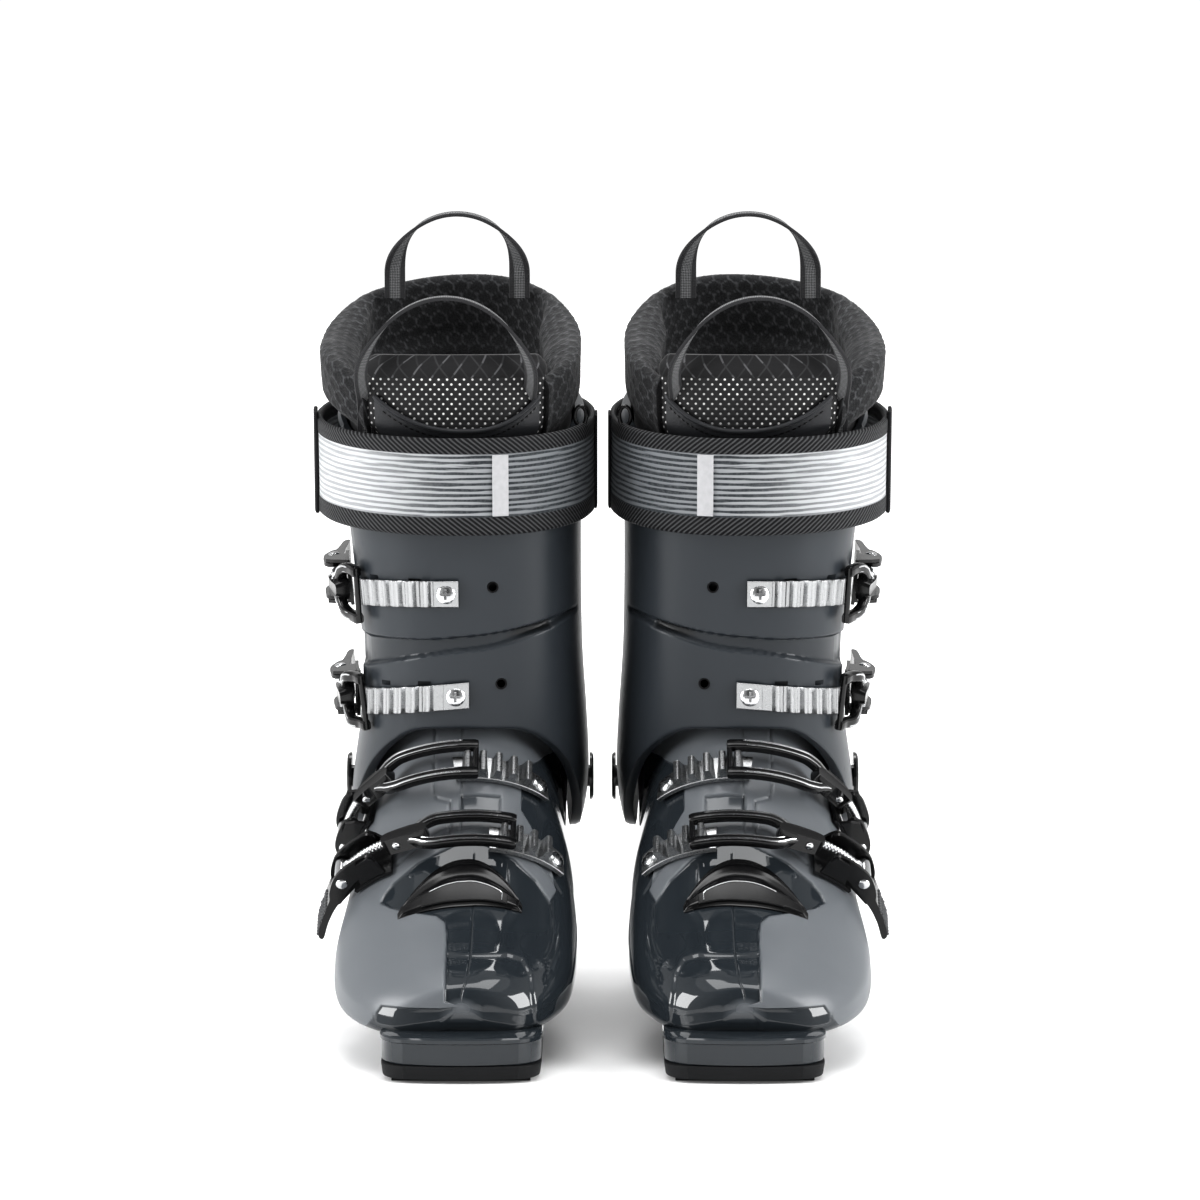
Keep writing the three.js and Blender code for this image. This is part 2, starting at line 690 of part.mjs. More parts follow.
// As a swept profile, but its low points keep to the surface on each side.
function seatedProfile(track, outline, from, to, seatedBelow) {
  const at = (width) => (p) => {
    return p.y < seatedBelow ? track.hug(p.x, p.y, width) : track.place(p.x, p.y, width);
  };
  return prism(outline, [], at(from), at(to));
}

function sweptPlan(track, contour, holes, low, high) {
  return prism(contour, holes, (p) => track.place(p.x, low(p.x), p.y), (p) => track.place(p.x, high(p.x), p.y));
}

function pairs(...values) {
  return values.map(([x, y]) => new THREE.Vector2(x, y));
}

// Straight edges divided so that a swept outline follows the curve of its track.
function divided(points, longest) {
  return points.flatMap((point, i) => {
    const next = points[(i + 1) % points.length];
    const parts = Math.max(1, Math.ceil(Math.abs(next.x - point.x) / longest));
    return Array.from({ length: parts }, (_, k) => point.clone().lerp(next, k / parts));
  });
}

function buckleBase(track) {
  const { baseBack, baseFront, baseHalf, baseTop, ear: [earIn, earOut] } = BUCKLE;
  const lengths = [0, 0.33, 0.67, 1].map((share) => THREE.MathUtils.lerp(baseBack, baseFront, share));
  const grid = (height) => [-baseHalf, 0, baseHalf].map((width) => {
    return lengths.map((length) => track.hug(length, height, width));
  });
  const top = BUCKLE.pivotHeight;
  const ear = pairs([-8, 1.4], [6, 1.4], [4.4, top], [2.6, top + 3.4], [-2.6, top + 3.4], [-4.4, top]);
  const pieces = [gridWall(grid(baseTop), grid(3 * FIT_GAP), false)];
  for (const side of [-1, 1]) {
    pieces.push(seatedProfile(track, ear, side * earIn, side * earOut, baseTop));
    const at = (width) => track.place(0, top, side * width);
    pieces.push(rod(at(BUCKLE.cheek[0] + 0.1), at(earOut - 0.2), BUCKLE.pin, 6));
  }
  return join(...pieces);
}

function buckleLever(track, { reach, tipLift }) {
  const hub = BUCKLE.pivotHeight;
  const link = -BUCKLE.throw;
  const cheek = divided(pairs(
    [3.8, hub - 1.5],
    [3.8, hub + 2],
    [1, hub + 4.2],
    [link, hub + 4.6],
    [-22, hub + 0.8],
    [-22, 4.2],
    [link, 4.8],
    [-4, 5],
    [1.5, hub - 4],
  ), 10);
  const grip = divided(pairs(
    [-20, 4],
    [-20, hub + 0.6],
    [-29, hub - 1.6 + 0.4 * tipLift],
    [-reach + 1.5, 6.4 + tipLift],
    [-reach, 5.2 + tipLift],
    [-reach + 1, 3.4 + tipLift],
    [-29, 4 + 0.4 * tipLift],
  ), 10);
  const [cheekIn, cheekOut] = BUCKLE.cheek;
  const pieces = [sweptProfile(track, grip, -cheekOut, cheekOut)];
  for (const side of [-1, 1]) {
    const wall = sweptProfile(track, cheek, side * cheekIn, side * cheekOut);
    const at = (width) => track.place(0, hub, side * width);
    pieces.push(cut(wall, rod(at(cheekIn - 1), at(cheekOut + 1), BUCKLE.pinHole, 8)));
  }
  const pinEnd = (side) => track.place(link, hub, side * (cheekIn + 0.4));
  pieces.push(rod(pinEnd(-1), pinEnd(1), BUCKLE.linkPin, 6));
  return join(...pieces);
}

function buckleBail(track, barLength, { barLow, armOuter }) {
  const hub = BUCKLE.pivotHeight;
  const eyeHalf = 5.6;
  const linkHalf = 2.6;
  const pin = (width) => track.place(-BUCKLE.throw, hub, width);
  const eye = cut(
    rod(pin(-eyeHalf), pin(eyeHalf), BUCKLE.eye, 10),
    rod(pin(-eyeHalf - 1), pin(eyeHalf + 1), BUCKLE.linkHole, 8),
  );
  const link = sweptProfile(track, divided(pairs(
    [-BUCKLE.throw + 2.3, hub - 2.1],
    [17, hub - 2.1],
    [17, hub + 1.9],
    [-BUCKLE.throw + 2.3, hub + 1.9],
  ), 8), -linkHalf, linkHalf);
  const low = (length) => THREE.MathUtils.lerp(hub - 2.6, barLow, blend(14, Math.min(34, barLength - 4), length));
  const high = (length) => low(length) + 2.5;
  const armInner = armOuter - 3.2;
  const { barHalf } = BUCKLE;
  const shoulder = Math.min(26, barLength - 13);
  const neck = shoulder - 4;
  const half = [[neck - 5, 3.2], [neck, 4], [shoulder, armOuter], [barLength + barHalf, armOuter]];
  const contour = divided(pairs(...half, ...half.map(([x, y]) => [x, -y]).reverse()), 9);
  const windowHalf = [[neck + 2, 3], [shoulder + 1.5, armInner], [barLength - barHalf, armInner]];
  const window = divided(pairs(...windowHalf, ...windowHalf.map(([x, y]) => [x, -y]).reverse()), 7);
  return join(eye, link, sweptPlan(track, contour, [window], low, high));
}

// A toothed strip that lies on the surface, with a screw plate at its far end.
function buckleLadder(track, barLength, endLength, { pitch, startBack, ladderTop, toothTop }) {
  const { barHalf, loadedGap, ladderHalf } = BUCKLE;
  const toothHalf = 0.65;
  const screwPad = 9;
  const start = barLength - startBack;
  const parts = Math.ceil((endLength - start) / 6);
  const lengths = Array.from({ length: parts + 1 }, (_, k) => THREE.MathUtils.lerp(start, endLength, k / parts));
  const grid = (height) => [-ladderHalf, 0, ladderHalf].map((width) => {
    return lengths.map((length) => track.hug(length, height, width));
  });
  const pieces = [gridWall(grid(ladderTop), grid(2.5 * FIT_GAP), false)];
  const foot = ladderTop - 0.5;
  let centre = barLength - barHalf - loadedGap - toothHalf;
  while (centre - pitch > start + 1) centre -= pitch;
  for (; centre < endLength - screwPad - 1; centre += pitch) {
    const tooth = pairs(
      [centre - toothHalf - 0.6, foot],
      [centre - toothHalf, toothTop],
      [centre + toothHalf, toothTop],
      [centre + toothHalf + 0.2, foot],
    );
    pieces.push(seatedProfile(track, tooth, -ladderHalf + 0.3, ladderHalf - 0.3, ladderTop));
  }
  const screw = endLength - screwPad / 2;
  pieces.push(rod(track.place(screw, foot), track.place(screw, ladderTop + 1.2), 3.9, 10));
  return join(...pieces);
}

// Starts a track at the lever's pivot and measures to the bail's bar and the ladder's end.
function seat(track, { pivot, barX, endX }) {
  track.zero = track.lengthAt(...pivot);
  const bar = track.lengthAt('x', barX, 10);
  return { track, bar, end: track.lengthAt('x', endX, bar) };
}

function buckle(spec, leverTrack, ladderTrack) {
  const { track, bar, end } = seat(leverTrack, spec);
  const ladder = ladderTrack ? seat(ladderTrack, spec) : { track, bar, end };
  return {
    base: buckleBase(track),
    lever: buckleLever(track, spec),
    bail: buckleBail(track, bar, spec),
    ladder: buckleLadder(ladder.track, ladder.bar, ladder.end, spec),
  };
}

const FOOT_BUCKLE = {
  pitch: 6.2, startBack: 9, ladderTop: 3.4, toothTop: 8, barLow: 7, armOuter: 10.4, tipLift: 6,
};
const CUFF_BUCKLE = {
  pitch: 6.6, startBack: 8, ladderTop: 2, toothTop: 3.9, barLow: 3.4, armOuter: 13, reach: 42, tipLift: 1,
};

const BUCKLES = {
  toe: buckle(
    { ...FOOT_BUCKLE, pivot: ['x', -38.8, 20], barX: 19.5, endX: 41.5, reach: 42 },
    shellTrack(-59, 92, 32),
  ),
  instep: buckle(
    { ...FOOT_BUCKLE, pivot: ['x', -44, 50], barX: 4, endX: 34, reach: 40 },
    shellTrack(-32.5, 120.5, 40),
  ),
  lower_cuff: buckle(
    { ...CUFF_BUCKLE, pivot: ['y', 22], barX: -43, endX: 1 },
    cuffTrack(-26, 150, 8, 6),
    cuffTrack(-27.2, 154, -3, 5),
  ),
  upper_cuff: buckle(
    { ...CUFF_BUCKLE, pivot: ['y', 17], barX: -45, endX: -3 },
    cuffTrack(-37, 198, 8, 3),
    cuffTrack(-38.2, 201, -3, 0),
  ),
};

// ---------------------------------------------------------------- one boot, then the pair
const PIECES = [
  ['shell', lowerShell(), FINISH.gloss],
  ['toe_sole', toeSole(), FINISH.sole],
  ['heel_sole', heelSole(), FINISH.sole],
  ['boot_board', bootBoard(), FINISH.board],
  ['toe_badge', toeBadge(), FINISH.black],
  ['liner_foot', linerFoot(), FINISH.felt],
  ['cuff', cuffShell(), FINISH.satin],
  ['cuff_pivot_outer', pivotRivet(-1, PIVOT.outerHead), FINISH.black],
  ['cuff_pivot_inner', pivotRivet(1, PIVOT.innerHead), FINISH.black],
  ['liner_shaft', linerShaft(), FINISH.felt],
  ['liner_tongue', linerTongue(), FINISH.leather],
  ['rear_loop', rearLoop(), FINISH.webbing],
  ['tongue_loop', tongueLoop(), FINISH.webbing],
  ['power_strap', powerStrap(), FINISH.webbing],
];
for (const [place, parts] of Object.entries(BUCKLES)) {
  PIECES.push([`${place}_base`, parts.base, FINISH.black]);
  PIECES.push([`${place}_lever`, parts.lever, FINISH.black]);
  PIECES.push([`${place}_bail`, parts.bail, FINISH.black]);
  PIECES.push([`${place}_ladder`, parts.ladder, FINISH.steel]);
}

function boot(side) {
  const group = new THREE.Group();
  for (const [name, geometry, material] of PIECES) {
    const mesh = new THREE.Mesh(geometry, material);
    mesh.name = `${side}_${name}`;
    group.add(mesh);
  }
  return group;
}

const pair = new THREE.Group();
const rightBoot = boot('right');
rightBoot.position.x = -BOOT_OFFSET;
const leftBoot = boot('left');
leftBoot.position.x = BOOT_OFFSET;
leftBoot.scale.x = -1;
pair.add(rightBoot, leftBoot);

export default pair;
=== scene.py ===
"""A pair of alpine ski boots: the finished look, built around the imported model.

Each piece is made once, in millimetres, in the right boot's own frame (its sole's
middle is the origin, its outer side is at -X), and placed again mirrored on the left.
"""
import json
import math

import bpy
import numpy as np
from mathutils import Matrix, Vector
from mathutils.geometry import tessellate_polygon
from mathutils.kdtree import KDTree

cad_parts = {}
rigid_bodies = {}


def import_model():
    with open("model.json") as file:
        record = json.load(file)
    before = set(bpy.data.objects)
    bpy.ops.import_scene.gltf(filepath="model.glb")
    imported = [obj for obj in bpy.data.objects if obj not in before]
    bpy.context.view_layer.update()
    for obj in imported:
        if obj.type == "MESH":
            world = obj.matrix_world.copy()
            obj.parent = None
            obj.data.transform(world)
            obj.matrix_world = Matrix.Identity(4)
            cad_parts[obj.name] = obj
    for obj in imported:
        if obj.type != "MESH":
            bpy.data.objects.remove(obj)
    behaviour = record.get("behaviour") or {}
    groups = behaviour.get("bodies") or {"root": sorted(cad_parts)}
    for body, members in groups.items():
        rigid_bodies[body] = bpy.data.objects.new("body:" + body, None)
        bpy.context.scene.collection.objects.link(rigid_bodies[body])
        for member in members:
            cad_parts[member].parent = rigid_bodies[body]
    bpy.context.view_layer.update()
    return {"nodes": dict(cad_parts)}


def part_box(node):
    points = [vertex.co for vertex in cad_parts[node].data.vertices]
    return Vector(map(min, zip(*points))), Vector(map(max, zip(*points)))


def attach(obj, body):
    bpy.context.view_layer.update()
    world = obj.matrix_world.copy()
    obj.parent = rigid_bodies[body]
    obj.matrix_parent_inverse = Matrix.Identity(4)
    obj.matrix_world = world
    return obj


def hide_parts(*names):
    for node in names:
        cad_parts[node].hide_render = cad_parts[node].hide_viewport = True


for leftover in list(bpy.data.objects):
    bpy.data.objects.remove(leftover)
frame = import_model()

MM = 0.001
BOOT_OFFSET = abs(sum(corner.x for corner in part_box("right_toe_sole"))) / 2 / MM
SIDES = (("right", 1), ("left", -1))

# ---------------------------------------------------------------- the boot's surfaces
# Shell sections: sole line (y, z), instep line (y, z), half width, sideways shift.
STATIONS = [
    (-137, 24, -137, 36, 10, 0),
    (-135.5, 20.5, -135.5, 40, 20, -1),
    (-132, 17.2, -132, 43, 29, -2),
    (-124, 16.5, -124, 48, 38, -3),
    (-110, 16.5, -110, 55, 45.7, -3.8),
    (-90, 16.5, -90, 66, 51.5, -4),
    (-65, 16.5, -65, 86.5, 53.9, -4.1),
    (-45, 16.5, -45, 106.5, 53, -3),
    (-20, 16.5, -30, 122.5, 51, -2),
    (25, 16.5, -20.5, 131.5, 47.5, -1),
    (80, 16.5, -16, 138, 45, 0),
    (128, 20, -14.5, 142, 44.2, 0.2),
    (141, 42, -13.5, 145, 44.2, 0.3),
    (139, 75, -13, 147, 44.8, 0.6),
    (133, 115, -12, 149, 45, 1.3),
    (124, 146, -11, 151, 44, 1.6),
]
FOOT_STATIONS = 8
COLLAR = len(STATIONS) - 1
SHELL_WALL = 5
CUFF_FRONT = [(84, -17), (108, -17), (138, -24), (200, -38), (262, -50), (300, -57), (340, -63)]
CUFF_REAR = [(84, 144), (95, 143), (138, 136), (150, 133), (200, 116), (260, 95), (300, 83), (340, 77)]
CUFF_OUTER = [(84, 53.5), (105, 54.3), (140, 50), (175, 50), (200, 52), (240, 56), (270, 59), (340, 63)]
CUFF_INNER = [
    (84, 50.5), (95, 53.2), (105, 54.6), (118, 55), (140, 54), (175, 52), (240, 51.7), (270, 53), (340, 55),
]
CUFF_EDGE = [
    (0, 138), (25, 136), (50, 122), (70, 100), (85, 86), (100, 84), (115, 92), (135, 106), (180, 112),
]
CUFF_WALL = 4.5
CUFF_TOP = (262, 300)
LINER_TOP = (292, 339)
LINER_WALL = 9
SOLE_END = 152.5
PIVOT_Y, PIVOT_Z = 58, 106
PIVOT_PIN, PIVOT_BORE, PIVOT_HEAD = 5, 5.6, 11


def smooth(low, high, value):
    """0 below low, 1 above high and an S-curve between; low may be the larger."""
    share = np.clip((np.asarray(value, float) - low) / (high - low), 0, 1)
    return share * share * (3 - 2 * share)


def mix(a, b, share):
    return a + (b - a) * share


def unit(vectors):
    return vectors / np.linalg.norm(vectors, axis=-1, keepdims=True)


def distances(path):
    """How far along a line of points each of them lies."""
    return np.concatenate([[0], np.cumsum(np.linalg.norm(np.diff(path, axis=0), axis=1))])


def spline(values):
    """A smooth curve through evenly spaced values."""
    known = np.array(values, float)
    last = len(known) - 1

    def at(u):
        u = np.clip(u, 0, last)
        i = np.floor(u).astype(int)
        t = u - i
        before, start = known[np.maximum(i - 1, 0)], known[i]
        end, after = known[np.minimum(i + 1, last)], known[np.minimum(i + 2, last)]
        leave, arrive = (end - before) / 2, (after - start) / 2
        return (
            (2 * start - 2 * end + leave + arrive) * t**3
            + (3 * end - 3 * start - 2 * leave - arrive) * t**2
            + leave * t
            + start
        )

    return at


def profile(pairs):
    """A smooth curve through (position, value) pairs."""
    x, y = np.array(pairs, float).T
    last = len(x) - 2
    inner = np.concatenate(([0], (y[2:] - y[:-2]) / (x[2:] - x[:-2]), [0]))

    def at(position):
        i = np.clip(np.searchsorted(x, position, side="right") - 1, 0, last)
        width = x[i + 1] - x[i]
        chord = (y[i + 1] - y[i]) / width
        leave = np.where(i > 0, inner[i], chord)
        arrive = np.where(i < last, inner[i + 1], chord)
        t = np.clip((position - x[i]) / width, 0, 1)
        return (
            (1 + 2 * t) * (1 - t) ** 2 * y[i]
            + t * (1 - t) ** 2 * width * leave
            + t * t * (3 - 2 * t) * y[i + 1]
            + t * t * (t - 1) * width * arrive
        )

    return at


LINES = [spline([row[k] for row in STATIONS]) for k in range(6)]
cuff_front, cuff_rear = profile(CUFF_FRONT), profile(CUFF_REAR)
cuff_outer, cuff_inner = profile(CUFF_OUTER), profile(CUFF_INNER)
cuff_edge = profile(CUFF_EDGE)


def signed_power(value, power):
    return np.sign(value) * np.abs(value) ** power


def inset_line(u, line, inset, towards):
    """A station line moved inwards, at right angles to itself."""
    before, after = np.maximum(u - 0.02, 0), np.minimum(u + 0.02, COLLAR)
    dy = LINES[line](after) - LINES[line](before)
    dz = LINES[line + 1](after) - LINES[line + 1](before)
    length = np.hypot(dy, dz)
    y, z = LINES[line](u), LINES[line + 1](u)
    facing = np.where(-dz * (towards[0] - y) + dy * (towards[1] - z) < 0, -1, 1)
    return y - facing * dz / length * inset, z + facing * dy / length * inset


def shell_point(u, turn, inset=0.0):
    """Station u, turn 0 under the sole, 0.25 outer side, 0.5 instep, 0.75 inner side."""
    u, turn = np.broadcast_arrays(np.asarray(u, float), np.asarray(turn, float))
    sole = LINES[0](u), LINES[1](u)
    instep = LINES[2](u), LINES[3](u)
    low_y, low_z = inset_line(u, 0, inset, instep)
    top_y, top_z = inset_line(u, 2, inset, sole)
    is_foot = 1 - smooth(FOOT_STATIONS - 1, FOOT_STATIONS + 2, u)
    waist = 0.5 - 0.15 * is_foot
    across, along = np.sin(turn * 2 * math.pi), -np.cos(turn * 2 * math.pi)
    power = 2 / np.where(along < 0, 2.25 + 1.8 * is_foot, 2.2 - 0.3 * is_foot)
    reach = signed_power(along, power)
    height = np.where(along < 0, waist * (1 + reach), waist + (1 - waist) * reach)
    shift = LINES[5](u) * (1 + is_foot * (0.2 - 2.2 * height * height))
    x = shift - (LINES[4](u) - inset) * signed_power(across, power)
    return np.stack([x, mix(low_y, top_y, height), mix(low_z, top_z, height)], -1)


def cuff_point(degrees, z, inset=0.0):
    """Degrees from the front: 90 outer side, 180 rear, 270 inner side."""
    degrees, z = np.broadcast_arrays(np.asarray(degrees, float), np.asarray(z, float))
    forward, outward = np.cos(np.radians(degrees)), np.sin(np.radians(degrees))
    power = 2 / np.where(forward > 0, 2.6, 2.3)
    front, rear = cuff_front(z), cuff_rear(z)
    middle = mix(front, rear, 0.42)
    length = np.where(forward > 0, middle - front, rear - middle) - inset
    width = np.where(outward > 0, cuff_outer(z), cuff_inner(z)) - inset
    x = -width * signed_power(outward, power)
    return np.stack([x, middle - length * signed_power(forward, power), z], -1)


def from_front(degrees):
    return np.abs((np.asarray(degrees, float) + 180) % 360 - 180)


def front_to_rear(degrees, heights):
    return mix(heights[0], heights[1], (1 - np.cos(np.radians(degrees))) / 2)


def liner_inset(degrees, z):
    """How far inside the cuff's surface the liner's outer surface lies.

    It lies deepest at the ankle, where the cuff's lean needs room, and swells over the top edge.
    """
    forward, outward = np.cos(np.radians(degrees)), np.sin(np.radians(degrees))
    deep = 14.9 + 12.6 * np.maximum(forward, 0) ** 0.6 + 3 * np.maximum(-forward, 0) ** 1.5
    edge = front_to_rear(degrees, CUFF_TOP)
    lower = mix(deep, CUFF_WALL + 1.5, smooth(160, 174, z))
    return mix(lower, 2 - 7 * np.maximum(outward, 0), smooth(edge + 1, edge + 13, z))


class Track:
    """A plane section of a surface: lengths run from the lever's pivot to the ladder."""

    def __init__(self, surface, axis, origin, turns, bounds, pivot, bar_x, end_x):
        self.surface_point, self.bounds = surface, bounds
        self.axis, self.origin = np.array(axis), np.array(origin, float)
        self.turns = np.linspace(*turns, 91)
        self.points = self.section(self.turns, 0)
        self.lengths = distances(self.points)
        self.zero = 0
        self.zero = self.length_at(*pivot)
        self.bar = self.length_at("x", bar_x, 10)
        self.end = self.length_at("x", end_x, self.bar)

    def section(self, turn, width):
        turn, width = np.broadcast_arrays(np.asarray(turn, float), np.asarray(width, float))
        start = self.origin + width[..., None] * self.axis
        low, high = (np.full(turn.shape, float(bound)) for bound in self.bounds)
        for _ in range(34):
            middle = (low + high) / 2
            below = (self.surface_point(turn, middle) - start) @ self.axis < 0
            low, high = np.where(below, middle, low), np.where(below, high, middle)
        return self.surface_point(turn, low)

    def stretch(self, length):
        at = np.asarray(length, float) + self.zero
        i = np.clip(np.searchsorted(self.lengths, at, side="right") - 1, 0, len(self.points) - 2)
        return i, (at - self.lengths[i]) / (self.lengths[i + 1] - self.lengths[i])

    def surface(self, length):
        i, share = self.stretch(length)
        return mix(self.points[i], self.points[i + 1], share[..., None])

    def outward(self, length):
        along = self.surface(np.asarray(length) + 3) - self.surface(np.asarray(length) - 3)
        return np.cross(unit(along), self.axis)

    def place(self, length, height, width=0.0):
        """Square to the section's plane, for what turns about the axis."""
        length, height, width = np.broadcast_arrays(
            *(np.asarray(value, float) for value in (length, height, width))
        )
        stand = self.outward(length) * height[..., None]
        return self.surface(length) + stand + width[..., None] * self.axis

    def hug(self, length, height, width):
        """Above the real surface beside the section, for what lies flat on it."""
        length, height, width = np.broadcast_arrays(
            *(np.asarray(value, float) for value in (length, height, width))
        )
        i, share = self.stretch(length)
        turn = mix(self.turns[i], self.turns[i + 1], share)
        return self.section(turn, width) + self.outward(length) * height[..., None]

    def length_at(self, coordinate, value, past=None):
        column = self.points[:, "xyz".index(coordinate)]
        start = 0 if past is None else past + self.zero
        crossed = (column[1:] - value) * (column[:-1] - value) <= 0
        found = int(np.argmax(crossed & (self.lengths[1:] > start)))
        share = (value - column[found]) / (column[found + 1] - column[found])
        return float(mix(self.lengths[found], self.lengths[found + 1], share) - self.zero)


def shell_track(y, z, tilt, pivot, bar_x, end_x):
    """A track over the instep, in a plane through x 0, y and z, tilted in degrees."""
    def surface(turn, u):
        return shell_point(u, turn)

    axis = (0, math.cos(math.radians(tilt)), math.sin(math.radians(tilt)))
    return Track(surface, axis, (0, y, z), (0.2, 0.74), (2, 12), pivot, bar_x, end_x)


def cuff_track(y, z, lean, roll, pivot, bar_x, end_x):
    """A track round the cuff, in a plane through x 0, y and z, leaning and rolled in degrees."""
    lean, roll = math.radians(lean), math.radians(roll)
    axis = (-math.sin(roll), -math.sin(lean) * math.cos(roll), math.cos(lean) * math.cos(roll))
    return Track(cuff_point, axis, (0, y, z), (120, -30), (90, 330), pivot, bar_x, end_x)


# ---------------------------------------------------------------- making meshes
def strips(rows, columns, ring=False, first=0):
    """Quads of a grid of points; a ring also joins its last column to its first."""
    faces = []
    spans = columns if ring else columns - 1
    for i in range(rows - 1):
        for j in range(spans):
            k = (j + 1) % columns
            low, high = first + i * columns, first + (i + 1) * columns
            faces.append((low + j, low + k, high + k, high + j))
    return faces


def lofted(rings):
    """Closed rings of points skinned in order, with each end filled."""
    rings = np.asarray(rings, float)
    rows, columns = rings.shape[:2]
    points = rings.reshape(-1, 3)
    faces = strips(rows, columns, ring=True)
    for row in (0, rows - 1):
        hub = len(points)
        points = np.vstack([points, rings[row].mean(axis=0)])
        for j in range(columns):
            a, b = row * columns + j, row * columns + (j + 1) % columns
            faces.append((hub, b, a) if row == 0 else (hub, a, b))
    return points, faces


def tube(path, radius, up=(0, 0, 1), sides=10, flat=1.0, square=1.0, taper=0.0):
    """A bar along a path. flat scales its height; square 0.5 makes its section boxy."""
    path = np.asarray(path, float)
    along = unit(np.gradient(path, axis=0))
    side = unit(np.cross(along, np.broadcast_to(np.asarray(up, float), path.shape)))
    stand = np.cross(side, along)
    angle = np.arange(sides) * 2 * math.pi / sides + math.pi / sides
    a, b = signed_power(np.cos(angle), square), signed_power(np.sin(angle), square) * flat
    size = np.broadcast_to(np.asarray(radius, float), (len(path),)).copy()
    if taper:
        size[[0, -1]] *= 1 - taper
    rings = path[:, None] + size[:, None, None] * (side[:, None] * a[:, None] + stand[:, None] * b[:, None])
    return lofted(rings)


def turn_to(axis):
    """The turn that points +Z along an axis."""
    return np.array(Vector(axis).normalized().to_track_quat("Z", "Y").to_matrix())


def turned_rings(centre, axis, outline, sides):
    """An outline of (radius, height) turned about an axis."""
    angle = np.arange(sides) * 2 * math.pi / sides
    rings = [
        np.stack([radius * np.cos(angle), radius * np.sin(angle), np.full(sides, height)], -1)
        for radius, height in outline
    ]
    return np.asarray(centre) + np.array(rings) @ turn_to(axis).T


def lathe(centre, axis, outline, sides=20):
    return lofted(turned_rings(centre, axis, outline, sides))


def dome(centre, axis, radius, height, sides=16):
    steps = np.linspace(0, math.pi / 2, 5)
    outline = [(radius * 0.96, -1)] + [(radius * math.cos(t) + 0.01, height * math.sin(t)) for t in steps]
    return lathe(centre, axis, outline, sides)


def between(near, far, outline):
    """A solid between two matching loops of points; outline shows how to fill them."""
    count = len(near)
    faces = [(j, (j + 1) % count, count + (j + 1) % count, count + j) for j in range(count)]
    flat = [Vector((point[0], point[1], 0)) for point in outline]
    for first, order in ((0, 1), (count, -1)):
        for triangle in tessellate_polygon([flat]):
            faces.append(tuple(first + v for v in triangle[::order]))
    return np.vstack([near, far]), faces


def slab(place, outline, low, high):
    """A flat outline of (length, height), thick from width low to width high."""
    near, far = (place(outline[:, 0], outline[:, 1], width) for width in (low, high))
    return between(near, far, outline)


def wall(outer, inner, ring=False):
    """A closed wall between two grids of points."""
    rows, columns = outer.shape[:2]
    points = np.vstack([outer.reshape(-1, 3), inner.reshape(-1, 3)])
    inside = rows * columns
    faces = strips(rows, columns, ring)
    faces += [face[::-1] for face in strips(rows, columns, ring, inside)]
    for j in range(columns if ring else columns - 1):
        k = (j + 1) % columns
        top = (rows - 1) * columns
        faces.append((inside + j, inside + k, k, j))
        faces.append((top + j, top + k, inside + top + k, inside + top + j))
    if not ring:
        for i in range(rows - 1):
            for j, order in ((0, 1), (columns - 1, -1)):
                a, b = i * columns + j, (i + 1) * columns + j
                faces.append((a, b, inside + b, inside + a)[::order])
    return points, faces


def together(shapes):
    """Several (points, faces) as one."""
    points, faces, first = [], [], 0
    for part_points, part_faces in shapes:
        points.append(part_points)
        faces += [tuple(first + v for v in face) for face in part_faces]
        first += len(part_points)
    return np.vstack(points), faces


def outward_volume(points, faces):
    """Signed volume, to tell whether the faces point outwards."""
    total = 0.0
    for size in {len(face) for face in faces}:
        corners = points[np.array([face for face in faces if len(face) == size])]
        for k in range(1, size - 1):
            total += (corners[:, 0] * np.cross(corners[:, k], corners[:, k + 1])).sum()
    return total


def raw_mesh(name, points, faces):
    mesh = bpy.data.meshes.new(name)
    mesh.from_pydata([tuple(p) for p in points], [], faces)
    mesh.update()
    return mesh


def in_scene(name, data):
    made = bpy.data.objects.new(name, data)
    bpy.context.scene.collection.objects.link(made)
    return made


def carved(shape, cutters):
    """A shape with cutters taken out of it."""
    work = in_scene("work", raw_mesh("work", *shape))
    tools = []
    for k, cutter in enumerate(cutters):
        tool = in_scene(f"cutter_{k}", raw_mesh("cutter", *facing_out(cutter)))
        tools.append(tool)
        boolean = work.modifiers.new("cut", "BOOLEAN")
        boolean.operation, boolean.solver, boolean.object = "DIFFERENCE", "EXACT", tool
    view = bpy.context.evaluated_depsgraph_get()
    result = work.evaluated_get(view).to_mesh()
    points = np.array([tuple(v.co) for v in result.vertices])
    faces = [tuple(polygon.vertices) for polygon in result.polygons]
    for leftover in [work, *tools]:
        bpy.data.objects.remove(leftover)
    return points, faces


def facing_out(shape):
    points, faces = shape
    if outward_volume(points, faces) < 0:
        faces = [tuple(face[::-1]) for face in faces]
    return points, faces


